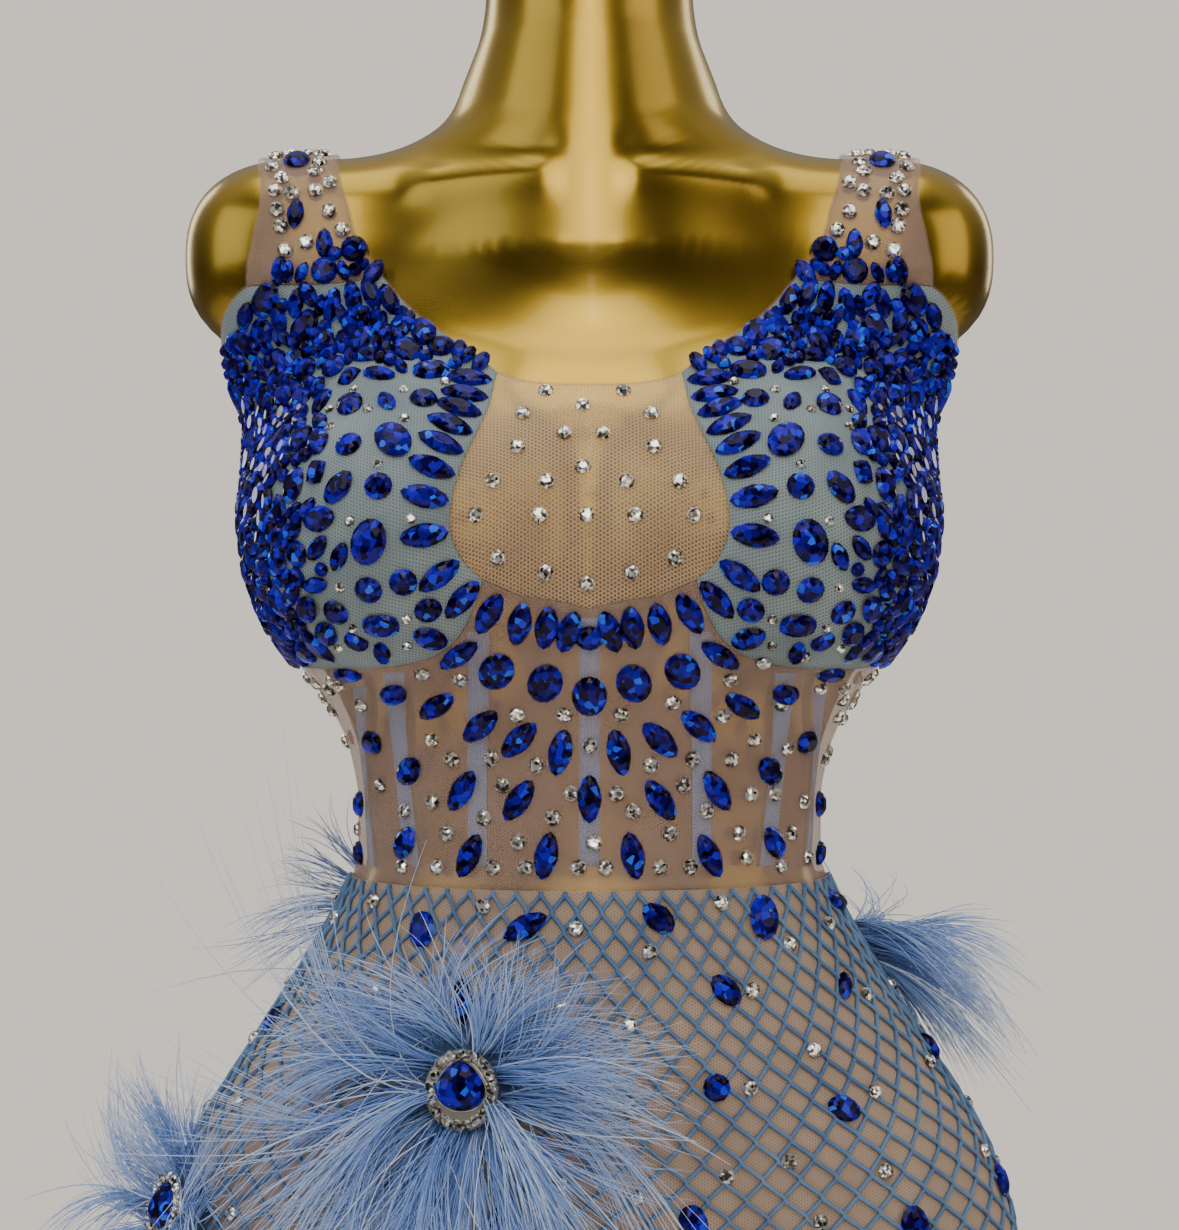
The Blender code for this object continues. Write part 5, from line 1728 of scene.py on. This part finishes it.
def makeStones():
    within = {name: drawnIn(cuts[name], inset) for name, inset in stoneEdge.items()}
    ring = ringOfStones(np.concatenate([lines["ringUpper"][:-1], lines["ringLower"]]))
    pairs = {"cup": cupStonesOf(ring, within["cup"]), "strap": strapStonesOf(within["strap"])}
    for word, turned in (("Right", lambda stone: stone), ("Left", otherSide)):
        for part, (stones, crystals) in pairs.items():
            node = f"{part}_{word.lower()}"
            setPiece(f"{part}Stones{word}", [turned(stone) for stone in stones], "sapphireGlass", node)
            setPiece(f"{part}Crystals{word}", [turned(stone) for stone in crystals], "crystalFoil", node)
    below = [stone for stone in ring if not insideOf(stone["spot"][None], within["cup"])[0]]
    below += [otherSide(stone) for stone in below] + stonesOf(midriffStones, "front", True)
    setPiece("midriffStones", below, "sapphireGlass", "midriff")
    loose = strewnCrystals("crystal", "side", within["midriff"], below)
    sides = [stone for stone in loose if abs(stone["point"][0]) > sideFrom]
    setPiece("midriffCrystals", crystalsOf(midriffCrystals) + sides, "crystalFoil", "midriff")
    setPiece("bibCrystals", crystalsOf(bibCrystals), "crystalFoil", "bib")
    behind = stonesOf(backStones, "back", True)
    setPiece("backStones", behind, "sapphireGlass", "back")
    loose = strewnCrystals("crystal", "back", within["back"], behind)
    setPiece("backCrystals", loose, "crystalFoil", "back")
    for word, view, table in (("Front", "front", skirtStones), ("Back", "back", backSkirtStones)):
        node = "skirt_" + view
        stones = clearOfPuffs(stonesOf(table, view, view == "back"))
        loose = clearOfPuffs(strewnCrystals("crystal", "skirt", within["skirt" + word], stones))
        setPiece("skirtStones" + word, stones, "sapphireGlass", node, stoneSeating["overNet"])
        setPiece("skirtCrystals" + word, loose, "crystalFoil", node, stoneSeating["overNet"])


makeStones()
print("stones set")


# Net over the skirt
net = {
    "columns": 56,
    "cellHeight": 16.0,
    "radius": 1.05,
    "sides": 4,
    "lift": 0.7,
    "over": 0.5,  # how much higher the cords that lean one way lie
    "knot": 1.5,  # how far two cords run together where they meet
    "fromSeam": 0.5,
    "girthSteps": 721,
}


def netLevels():
    # heights at which the cords bend, each with its count of half cells from the top
    low, high = cloth["hem"] + net["fromSeam"], cloth["hipSeam"] - net["fromSeam"]
    levels = []
    z = high
    number = 0
    while z > low:
        levels += [(z, number), (max(z - net["knot"], low), number)]
        z -= net["cellHeight"] / 2
        number += 1
    return levels


def makeNet():
    # diamonds all round, whose cords change from front to back at the side seams
    levels = netLevels()
    heights = np.array([z for z, _ in levels])
    # chart turns that part each level's girth evenly
    fine = np.linspace(-halfTurn, halfTurn, net["girthSteps"])
    girths = []
    for z in heights:
        points = surfaceOf(np.c_[fine, np.full(len(fine), z)])[0]
        walked = np.r_[0, np.cumsum(np.linalg.norm(np.diff(points, axis=0), axis=1))]
        girths.append(walked / walked[-1])
    found = {True: [], False: []}
    for lean in (1, -1):
        for column in range(net["columns"]):
            shares = [(column + lean * number / 2) / net["columns"] for _, number in levels]
            turns = np.array([np.interp(share % 1, girths[k], fine) for k, share in enumerate(shares)])
            points, outs = surfaceOf(np.c_[turns, heights])
            lift = heldOff(points[:, 2]) + cloth["wall"] + net["lift"] + (net["over"] if lean > 0 else 0)
            line = points + outs * lift[:, None]
            inFront = np.abs(turns) <= quarterTurn
            start = 0
            for k in range(1, len(line) + 1):
                if k == len(line) or inFront[k] != inFront[start]:
                    piece = line[start : min(k + 1, len(line))]
                    if len(piece) > 1:
                        found[bool(inFront[start])].append(piece)
                    start = k
    for word, cords in (("Front", found[True]), ("Back", found[False])):
        obj = tubesOf("fishnet" + word, cords, net["radius"], net["sides"], "netCord")
        belongs(obj, "skirt_" + word.lower())


makeNet()
print("net made")

for number, puff in enumerate(puffRows):
    at = padFrame(puff["view"], puff["first"], puff["second"])
    makePad(puff, at)
    makeBarbs(puff, at, strands["seed"] + number)
print("feathers made")


# Bindings along the open edges
bindings = {"radius": 0.75, "sides": 8}


def alongCloth(line):
    # points in the middle of the cloth over a chart line
    points, outs = surfaceOf(line)
    height = heldOff(points[:, 2]) + cloth["wall"] - cloth["thickness"] / 2
    return points + outs * height[:, None]


def makeBinding(name, chartLines, finish):
    tubes = [alongCloth(line) for line in chartLines]
    belongs(tubesOf(name, tubes, bindings["radius"], bindings["sides"], finish))


def makeBindings():
    s = lines
    rows = []
    for side, word in ((1, "Right"), (-1, "Left")):
        for edge in ("strapInner", "strapOuter"):
            rows.append((edge + "Binding" + word, s[edge] * (side, 1)))
        rows.append(("armholeBinding" + word, s["armholeFront"] * (side, 1)))
        behind = s["armholeBack"] if side == 1 else mirrored(s["armholeBack"], True)
        rows.append(("backArmholeBinding" + word, behind))
    leftNeck = [mirrored(s["neckCup"])[:-1], mirrored(s["neckBib"])[:-1]]
    rows.append(("neckBinding", np.concatenate([*leftNeck, s["neckBib"][:-1], s["neckCup"]])))
    backNeck = np.concatenate([s["backNeck"][:-1], mirrored(s["backNeck"], True)])
    rows.append(("backNeckBinding", backNeck))
    for name, line in rows:
        makeBinding(name, [line], "nudeMesh")
    makeBinding("hemBinding", [s["hemFront"], s["hemBack"]], "netCord")


makeBindings()
print("bindings made")


# Jewels: a drop stone in a ring of crystals
jewels = {
    "on": ("Front", "Left"),  # the puffs that carry one
    "width": 32,
    "height": 35,
    "stoneWidth": 21.5,
    "stoneHeight": 24.5,
    "point": 0.32,
    "crystals": 17,
    "crystalGrowth": 1.15,
    "crystalDepth": 5.2,
    "crystalSizes": (0.94, 1.08, 1.08),
    "crystalSpin": 0.9,
    "crystalSeat": 1.4,
    "crystalHeight": 2.6,
    "sides": 24,
    # height over the pad, growth, turned by half a side
    "settingRings": ((0, 0.94, 0), (0.9, 1, 0), (1.5, 0.98, 0)),
    "stoneRings": ((1.6, 0.98, 0), (3.4, 1, 0), (5.4, 0.84, 0.5), (7.0, 0.52, 0)),
    "collarRings": ((1.9, 1.06, 0),),
    "collarRadius": 0.5,
    "collarSides": 6,
    "sharpFrom": 35,
}


def dropAt(angle, width, height, pointed):
    # a place on an oval, or on a drop with its point upwards
    reach = 1 - jewels["point"] + jewels["point"] * max(math.cos(angle), 0) ** 3 if pointed else 1
    return -math.sin(angle) * width / 2, math.cos(angle) * height / 2 * reach


def loftOf(name, rings, finish, smooth=False):
    # a closed skin over rings of points
    count = len(rings[0])
    points = np.concatenate(rings) * mm
    faces = []
    for r in range(len(rings) - 1):
        for k in range(count):
            after = (k + 1) % count
            faces.append((r * count + k, r * count + after, (r + 1) * count + after, (r + 1) * count + k))
    faces.append(tuple(range(count))[::-1])
    faces.append(tuple(range((len(rings) - 1) * count, len(rings) * count)))
    mesh = facedOut(meshOf(name, points, faces))
    if smooth:
        mesh.shade_smooth()
        mesh.set_sharp_from_angle(angle=math.radians(jewels["sharpFrom"]))
    return pieceOf(name, mesh, finish)


def jewelRings(at, seat, rows, width, height, pointed):
    rings = []
    for rise, grow, half in rows:
        ring = []
        for k in range(jewels["sides"]):
            u, v = dropAt(2 * math.pi * (k + half) / jewels["sides"], width, height, pointed)
            place = at["point"] + at["level"] * u * grow + at["up"] * v * grow
            ring.append(place + at["out"] * (seat + rise))
        rings.append(np.array(ring))
    return rings


def jewelCrystals(at, seat):
    # the ring of crystals, each turned and sized a little differently
    around = StoneSet()
    wide, tall = jewels["width"] - jewels["crystalDepth"], jewels["height"] - jewels["crystalDepth"]
    for k in range(jewels["crystals"]):
        angle = 2 * math.pi * k / jewels["crystals"]
        u, v = dropAt(angle, wide, tall, False)
        spin = angle + jewels["crystalSpin"] * k
        way = at["level"] * -math.sin(spin) + at["up"] * math.cos(spin)
        place = at["point"] + at["level"] * u + at["up"] * v + at["out"] * (seat + jewels["crystalSeat"])
        grow = jewels["crystalGrowth"] * jewels["crystalSizes"][k % 3]
        around.add("crystalSmall", place, way, at["out"], grow, jewels["crystalHeight"])
    return around


def makeJewel(puff):
    at = padFrame(puff["view"], puff["first"], puff["second"])
    seat = heldOff(at["point"][2]) + cloth["wall"] + 2 * puffs["gap"] + puffs["thickness"] + puffs["dome"]
    word = puff["word"]
    node = "jewel_" + word.lower()
    rings = jewelRings(at, seat, jewels["settingRings"], jewels["width"], jewels["height"], False)
    belongs(loftOf("jewelSetting" + word, rings, "silverSetting", True), node)
    drop = (jewels["stoneWidth"], jewels["stoneHeight"], True)
    rings = jewelRings(at, seat, jewels["stoneRings"], *drop)
    belongs(loftOf("jewelStone" + word, rings, "sapphireGlass"), node)
    belongs(jewelCrystals(at, seat).made("jewelCrystals" + word, "crystalFoil"), node)
    ring = jewelRings(at, seat, jewels["collarRings"], *drop)[0]
    closed = [np.concatenate([ring, ring[:1]])]
    size = (jewels["collarRadius"], jewels["collarSides"])
    belongs(tubesOf("jewelCollar" + word, closed, *size, "silverSetting"), node)


for puff in puffRows:
    if puff["word"] in jewels["on"]:
        makeJewel(puff)
print("jewels made")


# What each sheet was cut to: stretch mesh is cut smaller than it is worn
cutting = {
    "stretch": 0.93,  # cut size as a share of the worn size, each way
    # sheet: what is sewn to it
    "sewnOn": {
        "cupRight": ("armholeBindingRight",),
        "cupLeft": ("armholeBindingLeft",),
        "strapRight": ("strapInnerBindingRight", "strapOuterBindingRight"),
        "strapLeft": ("strapInnerBindingLeft", "strapOuterBindingLeft"),
        "bibTulle": ("neckBinding",),
        "midriffMesh": (
            "bandCentre", "bandInnerRight", "bandInnerLeft", "bandOuterRight",
            "bandOuterLeft", "bandSideRight", "bandSideLeft",
        ),
        "backMesh": ("backNeckBinding", "backArmholeBindingRight", "backArmholeBindingLeft"),
        "skirtFront": ("fishnetFront", "hemBinding"),
        "skirtBack": ("fishnetBack",),
    },
}


def areaOf(obj):
    # one side's area
    areas = np.zeros(len(obj.data.polygons))
    obj.data.polygons.foreach_get("area", areas)
    return areas.sum() / 2


def extentOf(obj):
    # width and length of the piece's flat layout
    uv = np.zeros(len(obj.data.loops) * 2)
    obj.data.uv_layers[0].data.foreach_get("uv", uv)
    uv = uv.reshape(-1, 2)
    return uv.max(axis=0) - uv.min(axis=0)


def lengthOf(line):
    return np.linalg.norm(np.diff(surfaceOf(line)[0], axis=0), axis=1).sum() * mm


def declareSheets():
    strapLength = (lengthOf(lines["strapInner"]) + lengthOf(lines["strapOuter"])) / 2
    for name, obj in sheets.items():
        worn = (lengthOf(lines["strapFront"]), strapLength) if "strap" in name else extentOf(obj)
        area = float(areaOf(obj)) * cutting["stretch"] ** 2


declareSheets()


# Floor, world, lights and camera
studio = {
    "floorRadius": 1.7,
    "floorSides": 96,
    "floorDrop": 0.0005,
    "fadeFrom": 0.9,
    "pale": "#FFF6EA",
    "worldStrength": 0.9,
    "cameraPlace": (0, -1.5, 0.605),
    "lens": 97.56,
    "sensor": 36,
    "aim": (0, 0, 0.6),
    # name, place, width and height, watts, colour
    "lights": (
        ("wideWindow", (0.05, -2.6, 1.7), (1.4, 1.5), 21, "#FFF9F0"),
        ("ceilingPanel", (0.0, -1.5, 2.35), (1.1, 0.9), 10.5, "#FFF9F0"),
        ("stripLamp", (0.03, -2.4, 1.2), (0.12, 1.9), 3, "#FFF9F0"),
        ("softLeft", (-1.9, -1.2, 1.5), (1.7, 1.8), 15.5, "#F4F8FF"),
        ("softRight", (2.0, -1.0, 1.3), (1.5, 1.8), 13, "#FFF7EC"),
        ("softTop", (0, -0.2, 2.4), (1.6, 1.2), 12, "#FFFFFF"),
        ("rimLeft", (-1.4, 1.5, 1.3), (0.5, 1.4), 8, "#FFFFFF"),
        ("rimRight", (1.4, 1.5, 1.3), (0.5, 1.4), 6, "#FFFFFF"),
    ),
}


def makeFloor():
    bm = bmesh.new()
    bmesh.ops.create_circle(bm, cap_ends=True, segments=studio["floorSides"], radius=studio["floorRadius"])
    mesh = bpy.data.meshes.new("studioFloor")
    bm.to_mesh(mesh)
    bm.free()
    floor = bpy.data.objects.new("studioFloor", mesh)
    floor.location.z = -studio["floorDrop"]
    bpy.context.scene.collection.objects.link(floor)
    # Painted board: matt, and fading into the pale surroundings at its edge
    material, tree, shader = newMaterial("paleBoard", {"Base Color": studio["pale"], "Roughness": 0.9})
    place = addNode(tree, "ShaderNodeTexCoord").outputs["Object"]
    away = addNode(tree, "ShaderNodeVectorMath", {"operation": "LENGTH"}, {0: place}).outputs["Value"]
    fade = addNode(tree, "ShaderNodeMapRange", {
        "From Min": studio["fadeFrom"],
        "From Max": studio["floorRadius"],
        "To Min": 1.0,
        "To Max": 0.0,
    }, {"Value": away})
    tree.links.new(fade.outputs[0], shader.inputs["Alpha"])
    mesh.materials.append(material)


def makeWorld():
    # pale to the camera; for reflections a room with dark walls in front and a bright ceiling
    world = bpy.data.worlds.new("softRoom")
    bpy.context.scene.world = world
    world.use_nodes = True
    tree = world.node_tree
    back = tree.nodes["Background"]
    way = addNode(tree, "ShaderNodeTexCoord").outputs["Generated"]
    axes = addNode(tree, "ShaderNodeSeparateXYZ", links={0: way}).outputs
    half = addNode(tree, "ShaderNodeMath", {"operation": "MULTIPLY", 1: 0.5}, {0: axes[2]}).outputs[0]
    height = addNode(tree, "ShaderNodeMath", {"operation": "ADD", 1: 0.5}, {0: half}).outputs[0]
    stops = ((0.0, "#6E6A64"), (0.42, "#6A655E"), (0.5, "#4C4841"), (0.72, "#A8A49C"), (1.0, "#F4F2EE"))
    upward = addNode(tree, "ShaderNodeValToRGB", {"stops": stops}, {0: height}).outputs[0]
    across = addNode(tree, "ShaderNodeMath", {"operation": "ABSOLUTE"}, {0: axes[0]}).outputs[0]
    stops = ((0.0, "#8A857C"), (0.2, "#46413A"), (0.62, "#3A352E"), (0.86, "#66625A"))
    walls = addNode(tree, "ShaderNodeValToRGB", {"stops": stops}, {0: across}).outputs[0]
    ahead = addNode(tree, "ShaderNodeMath", {"operation": "MULTIPLY", 1: -1.0}, {0: axes[1]}).outputs[0]
    stops = ((0.0, 0.0), (0.45, 1.0))
    frontal = addNode(tree, "ShaderNodeValToRGB", {"stops": stops}, {0: ahead}).outputs[0]
    links = {0: frontal, 6: upward, 7: walls}
    room = addNode(tree, "ShaderNodeMix", {"data_type": "RGBA"}, links).outputs[2]
    path = addNode(tree, "ShaderNodeLightPath").outputs["Is Camera Ray"]
    plain = {"data_type": "RGBA", 7: studio["pale"]}
    whole = addNode(tree, "ShaderNodeMix", plain, {0: path, 6: room}).outputs[2]
    tree.links.new(whole, back.inputs["Color"])
    back.inputs["Strength"].default_value = studio["worldStrength"]


def addLight(name, place, size, power, colour):
    light = bpy.data.lights.new(name, "AREA")
    light.shape = "RECTANGLE"
    light.size, light.size_y = size
    light.energy = power
    light.color = colourOf(colour)[:3]
    obj = bpy.data.objects.new(name, light)
    obj.location = place
    way = Vector(studio["aim"]) - Vector(place)
    obj.rotation_euler = way.to_track_quat("-Z", "Y").to_euler()
    bpy.context.scene.collection.objects.link(obj)


def makeCamera():
    data = bpy.data.cameras.new("camera")
    data.lens = studio["lens"]
    data.sensor_width = studio["sensor"]
    data.sensor_fit = "AUTO"
    camera = bpy.data.objects.new("camera", data)
    camera.location = studio["cameraPlace"]
    camera.rotation_euler = (math.radians(90), 0, 0)
    bpy.context.scene.collection.objects.link(camera)
    bpy.context.scene.camera = camera


makeFloor()
makeWorld()
for row in studio["lights"]:
    addLight(*row)
makeCamera()
print("stage made")

for obj in list(stoneCollection.objects):
    bpy.data.objects.remove(obj, do_unlink=True)
bpy.data.collections.remove(stoneCollection)

shown = [obj.data for obj in bpy.data.objects if obj.type == "MESH" and not obj.hide_render]
print("triangles", sum(len(face.vertices) - 2 for mesh in shown for face in mesh.polygons))
